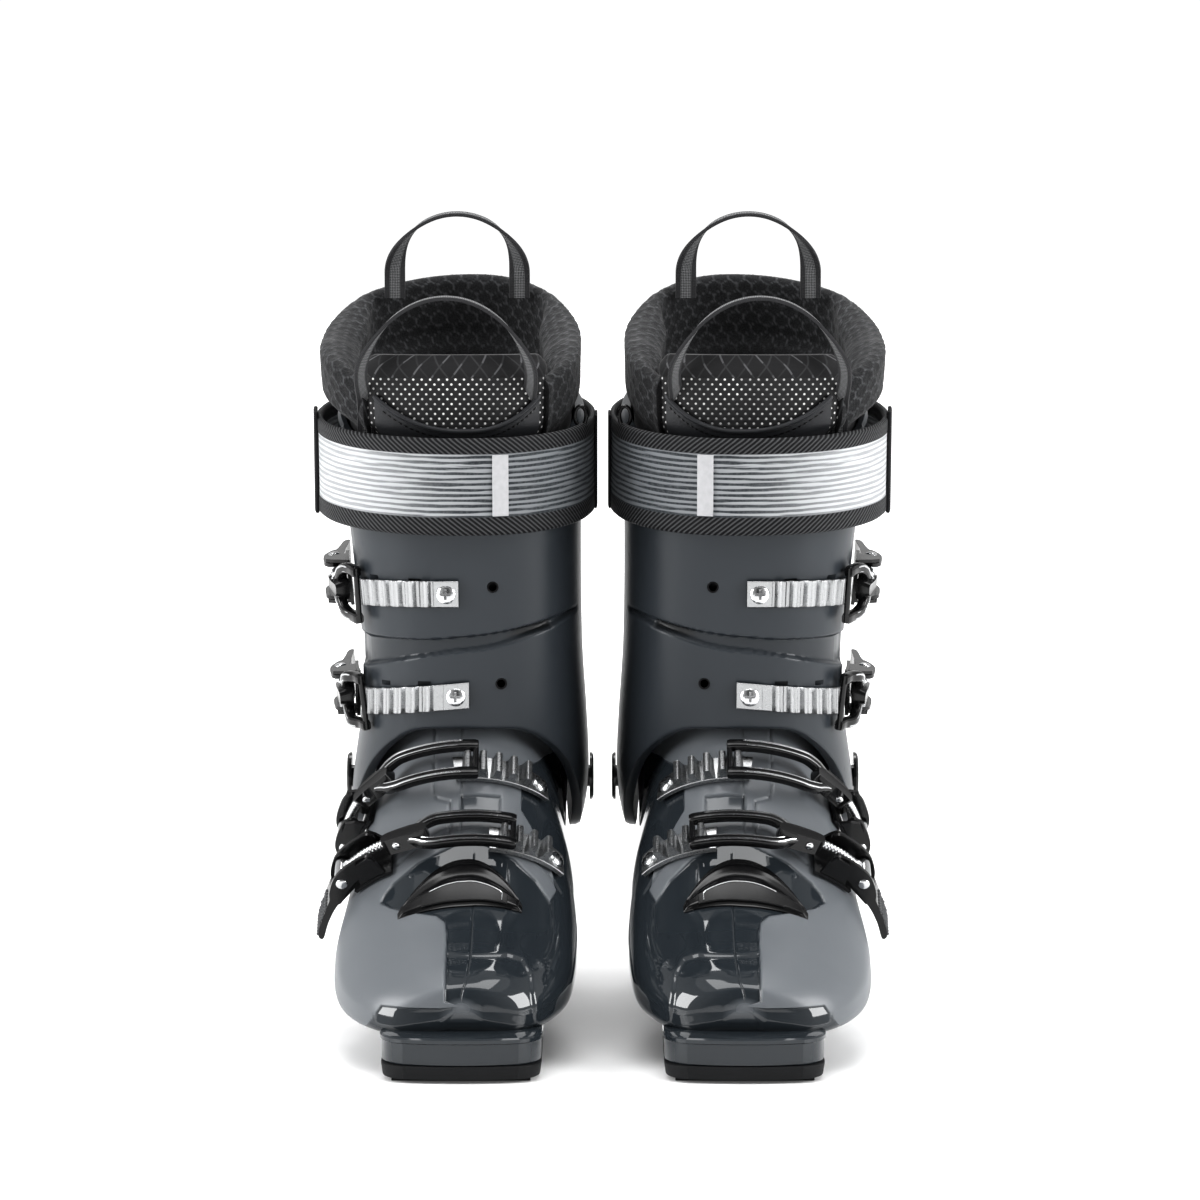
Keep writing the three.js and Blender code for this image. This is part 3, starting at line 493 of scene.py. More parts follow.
def on_both(name, shape, material, body, slot, replaces=(), layers=None, bevel=0.0, crisp=40):
    """Puts a shape on both boots. layers are numbers or vectors kept on the points."""
    points, faces = shape
    for side, sign in SIDES:
        placed = points * MM
        placed[:, 0] = sign * (placed[:, 0] - BOOT_OFFSET * MM)
        turned = faces if sign > 0 else [tuple(face[::-1]) for face in faces]
        full = f"{side}_{name}"
        mesh = raw_mesh(full, placed, turned)
        for layer, values in (layers or {}).items():
            kind = "FLOAT" if values.ndim == 1 else "FLOAT_VECTOR"
            data = mesh.attributes.new(layer, kind, "POINT").data
            data.foreach_set("value" if values.ndim == 1 else "vector", values.ravel())
        mesh.shade_smooth()
        mesh.set_sharp_from_angle(angle=math.radians(crisp))
        mesh.materials.append(material)
        made = in_scene(full, mesh)
        if bevel:
            rounding = made.modifiers.new("rounding", "BEVEL")
            rounding.width, rounding.segments = bevel * MM, 2
            rounding.limit_method, rounding.angle_limit = "ANGLE", math.radians(35)
        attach(made, f"{side}_{body}")
        if replaces:
            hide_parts(*[f"{side}_{node}" for node in replaces])


def piece(name, shape, *details, **options):
    """One closed body on each boot."""
    on_both(name, facing_out(shape), *details, **options)


def several(name, shapes, *details, **options):
    """One piece of several closed bodies, each turned to face outwards."""
    on_both(name, together([facing_out(shape) for shape in shapes]), *details, **options)


# ---------------------------------------------------------------- materials
class Value:
    """A node's output, with arithmetic that adds the nodes it needs."""

    def __init__(self, tree, node, output):
        self.tree, self.socket = tree, node.outputs[output]

    def math(self, operation, other=0.0):
        return self.tree.value(0, "ShaderNodeMath", {0: self, 1: other}, operation=operation)

    def spread(self, low, high, start=0.0, end=1.0, curve="SMOOTHSTEP"):
        sockets = {"Value": self, "From Min": low, "From Max": high, "To Min": start, "To Max": end}
        return self.tree.value("Result", "ShaderNodeMapRange", sockets, interpolation_type=curve)

    def fract(self):
        return self.math("FRACT")

    def __abs__(self):
        return self.math("ABSOLUTE")

    def __add__(self, other):
        return self.math("ADD", other)

    def __sub__(self, other):
        return self.math("SUBTRACT", other)

    def __mul__(self, other):
        return self.math("MULTIPLY", other)

    def __truediv__(self, other):
        return self.math("DIVIDE", other)


class Nodes:
    """A material's or world's node tree with short ways to add to it."""

    def __init__(self, owner):
        owner.use_nodes = True
        self.nodes, self.links = owner.node_tree.nodes, owner.node_tree.links

    def set(self, node, socket, value):
        if isinstance(value, Value):
            self.links.new(value.socket, node.inputs[socket])
        else:
            node.inputs[socket].default_value = value

    def value(self, output, kind, sockets=None, **settings):
        node = self.nodes.new(kind)
        for key, setting in settings.items():
            setattr(node, key, setting)
        for socket, value in (sockets or {}).items():
            self.set(node, socket, value)
        return Value(self, node, output)

    def xy(self, vector):
        return [self.value(axis, "ShaderNodeSeparateXYZ", {0: vector}) for axis in "XY"]


class Paint(Nodes):
    """A Principled material."""

    def __init__(self, name, color, roughness, metallic=0.0, specular=0.5, sheen=0.0):
        self.material = bpy.data.materials.new(name)
        super().__init__(self.material)
        self.look("Base Color", (*color, 1))
        self.look("Roughness", roughness)
        self.look("Metallic", metallic)
        self.look("Specular IOR Level", specular)
        self.look("Sheen Weight", sheen)
        self.place = self.value("Object", "ShaderNodeTexCoord")

    def look(self, socket, value):
        self.set(self.nodes["Principled BSDF"], socket, value)

    def noise(self, scale, detail=3.0, where=None, stretch=None):
        where = where or self.place
        if stretch:
            where = self.value("Vector", "ShaderNodeMapping", {"Vector": where, "Scale": stretch})
        return self.value("Fac", "ShaderNodeTexNoise", {"Vector": where, "Scale": scale, "Detail": detail})

    def layer(self, name):
        return self.value("Fac", "ShaderNodeAttribute", attribute_name=name)

    def grid(self):
        """The two measured directions, in millimetres, kept on a woven piece's points."""
        return self.xy(self.value("Vector", "ShaderNodeAttribute", attribute_name="weave"))

    def color(self, share, low, high):
        low, high = (end if isinstance(end, Value) else (*end, 1) for end in (low, high))
        return self.value(2, "ShaderNodeMix", {0: share, 6: low, 7: high}, data_type="RGBA")

    def paint(self, share, low, high):
        self.look("Base Color", self.color(share, low, high))

    def bump(self, height, strength, distance):
        sockets = {"Height": height, "Strength": strength, "Distance": distance * MM}
        self.look("Normal", self.value("Normal", "ShaderNodeBump", sockets))


def shell_paint():
    """Glossy moulded plastic that turns satin where the layer says."""
    paint = Paint("shell_plastic", (0.03, 0.036, 0.042), 0.1, specular=0.6)
    satin = paint.layer("satin")
    clouded = paint.color(paint.noise(14, 2), (0.112, 0.121, 0.131), (0.128, 0.138, 0.149))
    paint.paint(satin, (0.022, 0.027, 0.032), clouded)
    scuffs = paint.noise(260, 6, stretch=(1, 3, 1)).spread(0.62, 0.78, 0.0, 0.06)
    paint.look("Roughness", satin.spread(0, 1, 0.05, 0.38) + scuffs)
    paint.bump(paint.noise(2600, 2) * satin, 0.35, 0.05)
    return paint.material


def cuff_paint():
    """Satin moulded plastic, painted nearly black where the layer says: painted shade in the cuff's slot
    and wedge recess.
    """
    paint = Paint("cuff_plastic", (0.03, 0.035, 0.041), 0.42, specular=0.4)
    plastic = paint.color(paint.noise(9, 2), (0.026, 0.031, 0.037), (0.036, 0.042, 0.049))
    # The dark layer is painted shade, not the plastic's own colour.
    paint.paint(paint.layer("dark"), plastic, (0.006, 0.007, 0.008))
    paint.look("Roughness", paint.noise(180, 5, stretch=(3, 1, 1)).spread(0.6, 0.8, 0.36, 0.46))
    paint.bump(paint.noise(2200, 3), 0.35, 0.06)
    return paint.material


def sole_paint():
    paint = Paint("sole_plastic", (0.012, 0.013, 0.015), 0.6, specular=0.25)
    paint.paint(paint.noise(60, 4), (0.006, 0.0065, 0.007), (0.012, 0.0125, 0.014))
    paint.bump(paint.noise(1500, 5), 0.5, 0.12)
    return paint.material


def black_paint(name, roughness):
    paint = Paint(name, (0.012, 0.012, 0.013), roughness)
    paint.paint(paint.noise(60, 3), (0.004, 0.004, 0.0045), (0.007, 0.007, 0.0075))
    worn = paint.noise(120, 5).spread(0.45, 0.75, roughness - 0.01, roughness + 0.03)
    paint.look("Roughness", worn)
    paint.bump(paint.noise(2600, 2), 0.06, 0.03)
    return paint.material


def metal_paint(name, roughness, stretch, tone=0.7):
    """Bright metal with the fine lines that polishing leaves."""
    paint = Paint(name, (tone, tone, tone), roughness, metallic=1.0)
    lines = paint.noise(900, 4, stretch=stretch)
    paint.paint(lines, (0.7 * tone, 0.71 * tone, 0.72 * tone), (tone, 1.01 * tone, 1.02 * tone))
    paint.look("Roughness", lines.spread(0.25, 0.75, roughness - 0.06, roughness + 0.12))
    paint.bump(lines, 0.25, 0.04)
    return paint.material


def felt_paint(name, low, high):
    """Quilted felt: darker in the fibres, paler along the seams between its cells."""
    paint = Paint(name, low, 0.95, specular=0.12, sheen=0.12)
    body = paint.color(paint.noise(1500, 5).spread(0.3, 0.75), low, high)
    seam = paint.layer("seam") * paint.noise(400, 3).spread(0.35, 0.6, 0.35, 1.0)
    paint.paint(seam, body, [2.6 * part for part in high])
    paint.bump(paint.noise(1100, 6), 0.6, 0.35)
    return paint.material


def tongue_paint():
    """Black cloth with a zigzag of pale stitching along its top."""
    paint = Paint("tongue_cloth", (0.012, 0.012, 0.014), 0.75, specular=0.3, sheen=0.1)
    across, up = paint.grid()
    lines = []
    for slope, strength in ((0.75, 1.0), (-0.75, 0.15)):
        wave = ((across + up * slope) * (1 / 9)).fract()
        gap = ((up - across) * (1 / 18)).fract()
        lines.append(abs(wave - 0.5).spread(0.03, 0.075, 1.0, 0.0) * gap.spread(0.42, 0.5, strength, 0.25))
    stitched = lines[0].math("MAXIMUM", lines[1]) * paint.layer("band")
    paint.paint(stitched, (0.013, 0.013, 0.014), (0.1, 0.1, 0.105))
    paint.bump(paint.noise(900, 4) + stitched * 0.8, 0.5, 0.3)
    return paint.material


def mesh_paint():
    """Black mesh over white foam, which shows through its staggered holes."""
    paint = Paint("tongue_mesh", (0.01, 0.01, 0.011), 0.6, specular=0.4)
    across, up = paint.grid()
    pitch, rise = 3.7, 2.2
    row = (up / rise).math("FLOOR")
    u = ((across / pitch + row * 0.5).fract() - 0.5) * pitch
    v = ((up / rise).fract() - 0.5) * rise
    distance = (u.math("POWER", 2.0) + v.math("POWER", 2.0)).math("SQRT")
    foam = paint.color(paint.noise(70, 3).spread(0.35, 0.65), (0.3, 0.3, 0.3), (0.72, 0.72, 0.71))
    paint.paint(distance.spread(0.4, 0.62, 1.0, 0.0), (0.011, 0.011, 0.012), foam)
    paint.bump(distance.spread(0.5, 1.1) + paint.noise(1400, 3) * 0.4, 0.8, 0.4)
    return paint.material


def leather_paint():
    paint = Paint("tongue_leather", (0.02, 0.021, 0.024), 0.45, specular=0.45)
    cells = {"Vector": paint.place, "Scale": 900}
    grain = paint.value("Distance", "ShaderNodeTexVoronoi", cells, feature="DISTANCE_TO_EDGE")
    paint.paint(paint.noise(30, 3), (0.016, 0.017, 0.019), (0.03, 0.031, 0.035))
    paint.look("Roughness", paint.noise(120, 4).spread(0.3, 0.7, 0.36, 0.52))
    paint.bump(grain.spread(0.0, 0.25), 0.3, 0.1)
    return paint.material


def woven(across, up, yarn):
    """How high the yarns of a plain weave stand."""
    a, b = ((way * (math.pi / yarn)).math("SINE") for way in (across, up))
    return a * b * 0.5 + 0.5


def webbing_paint():
    """Grey webbing with black edges and a herringbone of yarns."""
    paint = Paint("webbing", (0.2, 0.2, 0.21), 0.85, specular=0.25, sheen=0.1)
    along, across = paint.grid()
    weave = woven(along + across, along - across, 0.75)
    yarns = paint.color(weave.spread(0.25, 0.75), (0.018, 0.018, 0.02), (0.2, 0.203, 0.206))
    paint.paint(abs(across).spread(1.9, 2.7), yarns, (0.03, 0.03, 0.032))
    paint.bump(weave, 0.7, 0.3)
    return paint.material


def strap_paint():
    """Silver centre with fine dark lines between black diagonal twill borders; the silver is painted paler
    on the outer side, a painted highlight where the side light falls.
    """
    paint = Paint("power_strap", (0.3, 0.3, 0.3), 0.6, specular=0.2)
    along, up = paint.grid()
    line_spacing, twill_spacing, border_from = 2.45, 2.7, 14.0
    drawn_out = paint.value(0, "ShaderNodeCombineXYZ", {0: along * 0.025, 1: up * 0.5})
    uneven = paint.noise(1.6, 2, where=drawn_out).spread(0.3, 0.7, -0.12, 0.14)
    line = abs((up / line_spacing).fract() - 0.5) + uneven
    # Painted highlight: the silver is paler on the outer side, fading across the front to the inner side
    # and towards the rear, and its dark lines fade where it is pale.
    pale = along.spread(-75, 60, 1.0, 0.0) * abs(along).spread(130, 215, 1.0, 0.0)
    depth = line.spread(0.17, 0.33, 1.0, 0.0) * pale.spread(0.35, 1, 1.0, 0.4)
    flecks = paint.noise(700, 3).spread(0.35, 0.7, 0.0, 0.35)
    silver = paint.color(pale, (0.16, 0.17, 0.18), (0.5, 0.51, 0.52))
    dark = paint.color(flecks, (0.03, 0.035, 0.04), (0.12, 0.125, 0.13))
    slant = ((along + up * 1.25) / twill_spacing).fract()
    twill = abs(slant - 0.5).spread(0.18, 0.42)
    border = paint.color(twill, (0.006, 0.006, 0.007), (0.075, 0.077, 0.08))
    is_border = abs(up - STRAP_MIDDLE).spread(border_from, border_from + 0.5)
    paint.paint(is_border, paint.color(depth, silver, dark), border)
    relief = is_border * twill + line.spread(0.1, 0.4) * 0.6 + woven(along, up, 0.45) * 0.25
    paint.bump(relief, 0.8, 0.4)
    return paint.material


def plain_paint(name, color, roughness, scale, depth):
    paint = Paint(name, color, roughness, specular=0.2)
    paint.paint(paint.noise(scale, 4), [0.85 * part for part in color], [1.12 * part for part in color])
    paint.bump(paint.noise(scale * 8, 3), 0.4, depth)
    return paint.material


STRAP_HEIGHT = 44
STRAP_MIDDLE = STRAP_HEIGHT / 2 + 0.6
SHELL = shell_paint()
CUFF = cuff_paint()
SOLE = sole_paint()
TRIM = black_paint("black_trim", 0.16)
BUCKLE = black_paint("black_metal", 0.2)
CHROME = metal_paint("bright_metal", 0.16, (1, 1, 6))
BRUSHED = metal_paint("brushed_metal", 0.28, (1, 1, 9), 0.46)
GRIP = plain_paint("grip_metal", (0.09, 0.092, 0.095), 0.35, 300, 0.05)
FELT = felt_paint("quilted_felt", (0.012, 0.0122, 0.013), (0.03, 0.0305, 0.032))
FLEECE = felt_paint("inner_fleece", (0.008, 0.008, 0.009), (0.02, 0.02, 0.021))
CLOTH = tongue_paint()
MESH = mesh_paint()
LEATHER = leather_paint()
WEBBING = webbing_paint()
WEB_BLACK = plain_paint("black_webbing", (0.02, 0.02, 0.022), 0.8, 500, 0.2)
STRAP = strap_paint()
LABEL = plain_paint("white_label", (0.42, 0.42, 0.43), 0.6, 400, 0.1)
# Near black, for painted shade inside the cuff's holes.
SHADE_LINING = plain_paint("painted_shade_lining", (0.006, 0.006, 0.007), 0.7, 300, 0.05)
BOARD = plain_paint("board", (0.08, 0.085, 0.09), 0.8, 120, 0.2)


# ---------------------------------------------------------------- relief helpers
def polygon_depth(across, up, corners):
    """How far inside a polygon each point lies; negative outside."""
    corners = np.asarray(corners, float)
    following = np.roll(corners, -1, axis=0)
    nearest = np.full(across.shape, np.inf)
    inside = np.zeros(across.shape, bool)
    for (ax, az), (bx, bz) in zip(corners, following):
        nearest = np.minimum(nearest, segment_distance(across, up, ax, az, bx, bz))
        crosses = (az > up) != (bz > up)
        rise = bz - az if bz != az else 1e-9
        inside ^= crosses & (across < ax + (up - az) * (bx - ax) / rise)
    return np.where(inside, nearest, -nearest)


def segment_distance(across, up, ax, az, bx, bz):
    length = (bx - ax) ** 2 + (bz - az) ** 2
    share = np.clip(((across - ax) * (bx - ax) + (up - az) * (bz - az)) / length, 0, 1)
    return np.hypot(across - ax - share * (bx - ax), up - az - share * (bz - az))


def line_distance(across, up, corners):
    pairs = zip(corners, corners[1:])
    return np.min([segment_distance(across, up, *a, *b) for a, b in pairs], axis=0)


def groove(distance, half, depth):
    return -depth * smooth(half, half * 0.3, distance)


def grid_normals(grid, ring):
    """Outward unit normals of a grid of points, rows by columns."""
    down = np.gradient(grid, axis=0)
    if ring:
        around = (np.roll(grid, -1, axis=1) - np.roll(grid, 1, axis=1)) / 2
    else:
        around = np.gradient(grid, axis=1)
    normal = np.cross(around, down)
    normal /= np.maximum(np.linalg.norm(normal, axis=-1, keepdims=True), 1e-9)
    return normal


def raised(grid, relief, ring=True):
    return grid + relief[..., None] * grid_normals(grid, ring)


# ---------------------------------------------------------------- lower shell
# Seen from the front, (x, z): where the shell is glossy, and where it is set back.
GLOSS = [
    (-42, -5), (-42, 20), (-35, 30.5), (-7.2, 30.5), (-7.2, 58), (-8.4, 62), (-12, 64), (-33, 65.3),
    (-37.6, 66.8), (-36, 70), (-32, 74.7), (-21.2, 83.4), (-6, 90.5), (-1, 92.6), (10, 91), (22, 85),
    (32, 76), (38, 67.5), (41, 71), (38, 82), (29, 98), (25, 104), (25, 121), (80, 124), (80, -5),
]
TOE_PANEL = [(-7.2, 12), (-7.2, 51.6), (20, 51), (26.5, 49), (30.5, 43), (32.5, 30), (33, 12)]
INSTEP_PATCH = [(-2.5, 103), (-2.5, 110.6), (6, 111), (15.7, 110), (15.7, 102.4), (6, 103.4)]
FLAP_EDGE = [(-14.5, 150), (-14.5, 112), (-13, 109), (-7, 108), (-7, 95)]
INSTEP_SEAM = [(-2, 150), (-2, 92)]
BAND_EDGE = [(-30, 82), (-20, 90), (-7, 96.5), (3, 97.5), (16, 95), (28, 88), (37, 79), (43, 69)]


def shell_moulding():
    turns = np.concatenate([
        np.linspace(0, 0.25, 24, endpoint=False),
        np.linspace(0.25, 0.75, 220, endpoint=False),
        np.linspace(0.75, 1, 24, endpoint=False),
    ])
    stations = np.concatenate([
        np.linspace(0, 1, 12, endpoint=False),
        np.linspace(1, 8, 250, endpoint=False),
        np.linspace(8, COLLAR, 84),
    ])
    u, turn = np.meshgrid(stations, turns, indexing="ij")
    outer = shell_point(u, turn)
    x, y, z = np.moveaxis(outer, -1, 0)
    upper = smooth(0.2, 0.27, turn) * smooth(0.8, 0.73, turn)
    gloss = smooth(-0.35, 0.35, polygon_depth(x, z, GLOSS)) * smooth(44, 24, y)
    patch = smooth(-0.4, 0.4, polygon_depth(x, z, INSTEP_PATCH)) * upper * smooth(0, -10, y)
    front = smooth(48, 34, np.abs(x)) * smooth(0, -12, y) * upper
    relief = -0.75 * gloss * front
    relief -= 0.7 * smooth(-1.1, 1.1, polygon_depth(x, z, TOE_PANEL)) * smooth(-60, -80, y)
    relief -= 0.9 * patch
    facing = smooth(0, -10, y) * upper
    for line, half, depth in ((FLAP_EDGE, 0.8, 0.7), (INSTEP_SEAM, 0.7, 0.5), (BAND_EDGE, 0.9, 0.55)):
        relief += groove(line_distance(x, z, line), half, depth) * facing
    parting = np.abs(x - outer[:, np.abs(turns - 0.5).argmin()][:, :1])
    relief += groove(parting, 0.55, 0.3) * facing * smooth(92, 88, z)
    # A shallow hollow along the flank, and a step where the heel's counter starts.
    flank = smooth(0.12, 0.2, turn) * smooth(0.36, 0.28, turn)
    flank += smooth(0.88, 0.8, turn) * smooth(0.64, 0.72, turn)
    relief -= 1.1 * flank * smooth(-45, -15, y) * smooth(60, 34, y) * smooth(70, 56, z) * smooth(24, 32, z)
    relief += 0.5 * smooth(33.4, 34.6, y) * smooth(26, 34, z) * smooth(86, 78, z)
    relief -= 1.4 * smooth(1.4, 0, (COLLAR - u) * 3.2)
    outer = raised(outer, relief)
    inner = shell_point(*np.meshgrid(np.linspace(COLLAR, 0.5, 30), turns, indexing="ij"), SHELL_WALL)
    lip_rise = np.array([0, -0.1, 0.5])
    lip = [shell_point(COLLAR, turns, inset) + lip_rise for inset in (1.6, SHELL_WALL - 1.2)]
    points, faces = lofted(np.concatenate([outer, lip, inner]))
    satin = np.ones(len(points))
    satin[: u.size] = (1 - np.maximum(gloss, 0.6 * patch)).ravel()
    piece(
        "shell_moulding", (points, faces), SHELL, "lower", "shell_plastic",
        replaces=["shell"], layers={"satin": satin}, crisp=50,
    )


def sole_outline(width, square, bowed, bow, steps=9):
    """A plate with one square end and one blunt, gently bowed end."""
    half, inward = width / 2, math.copysign(1, square - bowed)
    far, middle = bowed + inward * (bow + 6), bowed + inward * bow * 0.5
    near = bowed + inward * bow * 0.2
    curves = [
        ((-half, far), (-half, middle), (-half * 0.72, near)),
        ((-half * 0.72, near), (0, bowed - inward * bow * 0.2), (half * 0.72, near)),
        ((half * 0.72, near), (half, middle), (half, far)),
    ]
    outline = [(-half, square)]
    for start, bend, end in curves:
        for t in np.linspace(0, 1, steps):
            outline.append(tuple(
                (1 - t) ** 2 * a + 2 * t * (1 - t) * b + t * t * c for a, b, c in zip(start, bend, end)
            ))
    outline.append((half, square))
    return np.array(outline)


def block(width, square, bowed, bow, levels):
    """A sole or block: (height, inset) levels of its outline, skinned."""
    rings = []
    inward = math.copysign(1, square - bowed)
    for height, inset in levels:
        ends = square - inward * inset * 0.3, bowed + inward * inset
        outline = sole_outline(width - 2 * inset, *ends, bow)
        rings.append(np.column_stack([outline, np.full(len(outline), height)]))
    return lofted(rings)


def tread(centre_y, count, spacing, half):
    """Raised bars across the underside of a sole."""
    bars = []
    for k in range(count):
        y = centre_y + (k - (count - 1) / 2) * spacing
        path = [(x, y + 0.0012 * x * x, 0.9) for x in np.linspace(-half, half, 9)]
        bars.append(tube(path, 2.4, flat=0.37, sides=8, square=0.5))
    return bars


def glossy_block(name, *outline_and_levels):
    points, faces = block(*outline_and_levels)
    satin = np.zeros(len(points))
    piece(name, (points, faces), SHELL, "lower", "shell_plastic", layers={"satin": satin}, crisp=30)


def soles():
    glossy_block("toe_block", 71, -58, -SOLE_END, 16, [
        (8.1, 0.9), (8.5, 0.75), (16.2, 0.75), (17.2, 0.6), (17.7, 0), (19.2, 0), (19.9, 0.5), (20.4, 2.2),
    ])
    glossy_block("heel_block", 70, 62, SOLE_END, 22, [
        (10, 0.9), (10.4, 0.75), (24, 0.75), (25.6, 0.4), (26.2, 0), (29, 0), (29.8, 0.5), (30.2, 2.5),
    ])
    under = [(1.8, 1.0), (2.2, 0.75)]
    toe = block(70, -58, -SOLE_END, 12, [*under, (6.9, 0.1), (7.4, 0.1), (7.7, 0.5)])
    heel = block(69, 60, SOLE_END, 20, [*under, (8.7, 0.1), (9.3, 0.1), (9.6, 0.5)])
    for end, plate, bars in (("toe", toe, tread(-104, 9, 9.5, 30)), ("heel", heel, tread(104, 8, 9.5, 29))):
        several(f"{end}_tread", [plate, *bars], SOLE, "lower", "sole_plastic",
                replaces=[f"{end}_sole"], bevel=0.25)


def crescent(width, height, squeeze=0.0):
    """A grid over the toe's crescent: width -1 to 1, height 0 to 1, and its shell places."""
    s, up = (grid.T for grid in np.meshgrid(width, height))
    lower = 5.16 - 0.05 * (1 - np.abs(s))
    upper = lower + 0.12 + 0.72 * (1 - s * s)
    return s, up, mix(lower, upper, up * (1 - squeeze * s * s)), 0.486 + 0.09 * s


def badge():
    """A crescent on the toe with a plain raised plate on its lower half."""
    s, up, u, turn = crescent(np.linspace(-1, 1, 61), np.linspace(0, 1, 25))
    rim = smooth(0, 0.16, np.minimum(np.minimum(up, 1 - up), (1 - np.abs(s)) * 1.6))
    hollow = smooth(0.5, 0.62, up) * smooth(1.0, 0.8, up) * smooth(1, 0.85, np.abs(s))
    facing = badge_facing(u, turn)
    over = shell_point(u, turn) + (0.1 + 1.5 * rim - 0.9 * hollow)[..., None] * facing
    under = shell_point(u, turn) - 0.9 * facing
    piece("badge_crescent", wall(over, under), TRIM, "lower", "black_plastic",
          replaces=["toe_badge"], crisp=60)
    _, _, u, turn = crescent(np.linspace(-0.62, 0.72, 45), np.linspace(0.06, 0.5, 13), 0.35)
    facing = badge_facing(u, turn)
    top, bottom = (shell_point(u, turn) + height * facing for height in (2.3, 1.0))
    piece("badge_plate", wall(top, bottom), BUCKLE, "lower", "black_plastic", bevel=0.3, crisp=60)
    edge = np.vstack([top[4:-4, -2], top[-4, 2:-2][::-1]]) + 0.1 * facing[4, 2]
    piece("badge_line", tube(edge, 0.28, up=(0, -1, 1)), CHROME, "lower", "black_plastic")


def badge_facing(u, turn):
    """The shell's outward direction."""
    along = shell_point(u + 0.05, turn) - shell_point(u - 0.05, turn)
    around = shell_point(u, turn + 0.004) - shell_point(u, turn - 0.004)
    normal = unit(np.cross(around, along))
    outward = shell_point(u, turn) - np.array([0, 0, 40])
    return normal * np.sign((normal * outward).sum(-1, keepdims=True))


# ---------------------------------------------------------------- cuff
UPPER_FLAP = profile([(-75, 191.5), (-55, 190), (-30, 186.2), (0, 181.2), (11, 180), (69, 179), (95, 178)])
LOWER_FLAP = profile([(-75, 190.5), (-57, 187.5), (-37, 183), (0, 174.3), (61, 165.3), (95, 161)])
CUFF_HOLES = [(12.2, 204.2), (15.8, 159.5)]
CUFF_WINDOWS = [(-41.6, 207.2, 4.4), (-22.8, 206.8, 5.6), (-36.5, 158.4, 4), (-18.9, 159.3, 5.8)]


def cuff_moulding():
    degrees = np.concatenate([
        np.linspace(-100, 100, 230, endpoint=False),
        np.linspace(100, 260, 84, endpoint=False),
    ])
    share = np.concatenate([
        np.linspace(0, 0.03, 5, endpoint=False),
        np.linspace(0.03, 0.975, 170, endpoint=False),
        np.linspace(0.975, 1, 5),
    ])
    share, angle = np.meshgrid(share, degrees, indexing="ij")
    low, top = cuff_edge(from_front(angle)), front_to_rear(angle, CUFF_TOP)
    z = mix(low, top, share)
    outer = cuff_point(angle, z)
    wedge = smooth(-0.7, 0.9, UPPER_FLAP(angle) - z) * smooth(-0.4, 1.4, z - LOWER_FLAP(angle))
    front = smooth(101, 88, angle) * smooth(-76, -66, angle)
    relief = -2.4 * wedge * front
    slot = smooth(2.3, 1.0, np.abs(z - UPPER_FLAP(angle) + 2.3))
    slot *= smooth(-12, -26, angle) * smooth(-45, -42, angle)
    relief -= 1.1 * slot
    # The outer flap ends in an upright edge under the bails; its tail sinks away behind.
    edge = 66 + 0.06 * (z - 180)
    relief -= 0.9 * smooth(edge - 1.2, edge + 1.2, angle) * smooth(112, 96, angle) * smooth(140, 146, z)
    rear = np.abs(angle - 180)
    spine = smooth(24.5, 22.5, rear) * smooth(132, 136, z) * smooth(276, 272, z)
    relief += 1.3 * spine
    relief -= 0.7 * smooth(16, 14.5, rear) * smooth(232, 236, z) * smooth(266, 262, z)
    relief += groove(np.abs(rear - 40), 1.2, 0.4) * smooth(120, 130, z)
    # Side ribs above the pivots, and rounded rims.
    rib = np.abs(rear - 78)
    relief += 0.7 * smooth(9, 6, rib) * smooth(122, 134, z) * smooth(262, 240, z) * (1 - front)
    rim = np.minimum(z - low, top - z)
    relief -= 1.5 * (1 - np.sqrt(np.clip(1 - (1 - np.clip(rim / 1.8, 0, 1)) ** 2, 0, 1)))
    outer = raised(outer, -relief)
    inner = cuff_point(angle, z, CUFF_WALL)
    shape = facing_out(wall(outer, inner, ring=True))
    # Painted shade: the slot under the upper flap is painted near black, and the wedge's recess a quarter
    # of the way to near black, where the flap shades them.
    dark = np.zeros(len(shape[0]))
    dark[: slot.size] = np.clip(slot + 0.25 * wedge * front, 0, 1).ravel()
    cutters = []
    for x, height in CUFF_HOLES:
        depth = float(cuff_front(height))
        cutters.append(lathe((x, depth - 12, height), (0, 1, 0), [(2.6, 0), (2.6, 30)], 24))
    for x, height, width in CUFF_WINDOWS:
        cutters.append(box_shape((x, front_depth(x, height), height), (width, 5.2, 2.2)))
    bore = [(PIVOT_BORE, 0), (PIVOT_BORE, 40)]
    cutters += [lathe((side * 40, PIVOT_Y, PIVOT_Z), (side, 0, 0), bore, 24) for side in (1, -1)]
    points, faces = carved(shape, cutters)
    painted_shade_there = np.array([dark[i] for i in nearest_points(shape[0], points)])
    piece("cuff_moulding", (points, faces), CUFF, "upper", "cuff_plastic",
          replaces=["cuff"], layers={"dark": painted_shade_there}, crisp=42)
    # Each hole is lined with a near-black bush: painted shade inside the hole.
    for x, height in CUFF_HOLES:
        front = (x, float(cuff_front(height)) + 0.4, height)
        piece(f"cuff_hole_{round(height)}", bush(front, (0, 1, 0), 2.62, 1.9, 3.8), SHADE_LINING,
              "upper", "cuff_plastic", bevel=0.2)


def front_depth(x, height):
    """The cuff's y at a place on its front."""
    angles = np.linspace(-80, 80, 641)
    line = cuff_point(angles, height)
    return float(line[np.abs(line[:, 0] - x).argmin(), 1])


def nearest_points(known, wanted):
    tree = KDTree(len(known))
    for i, point in enumerate(known):
        tree.insert(point, i)
    tree.balance()
    return [tree.find(point)[1] for point in wanted]


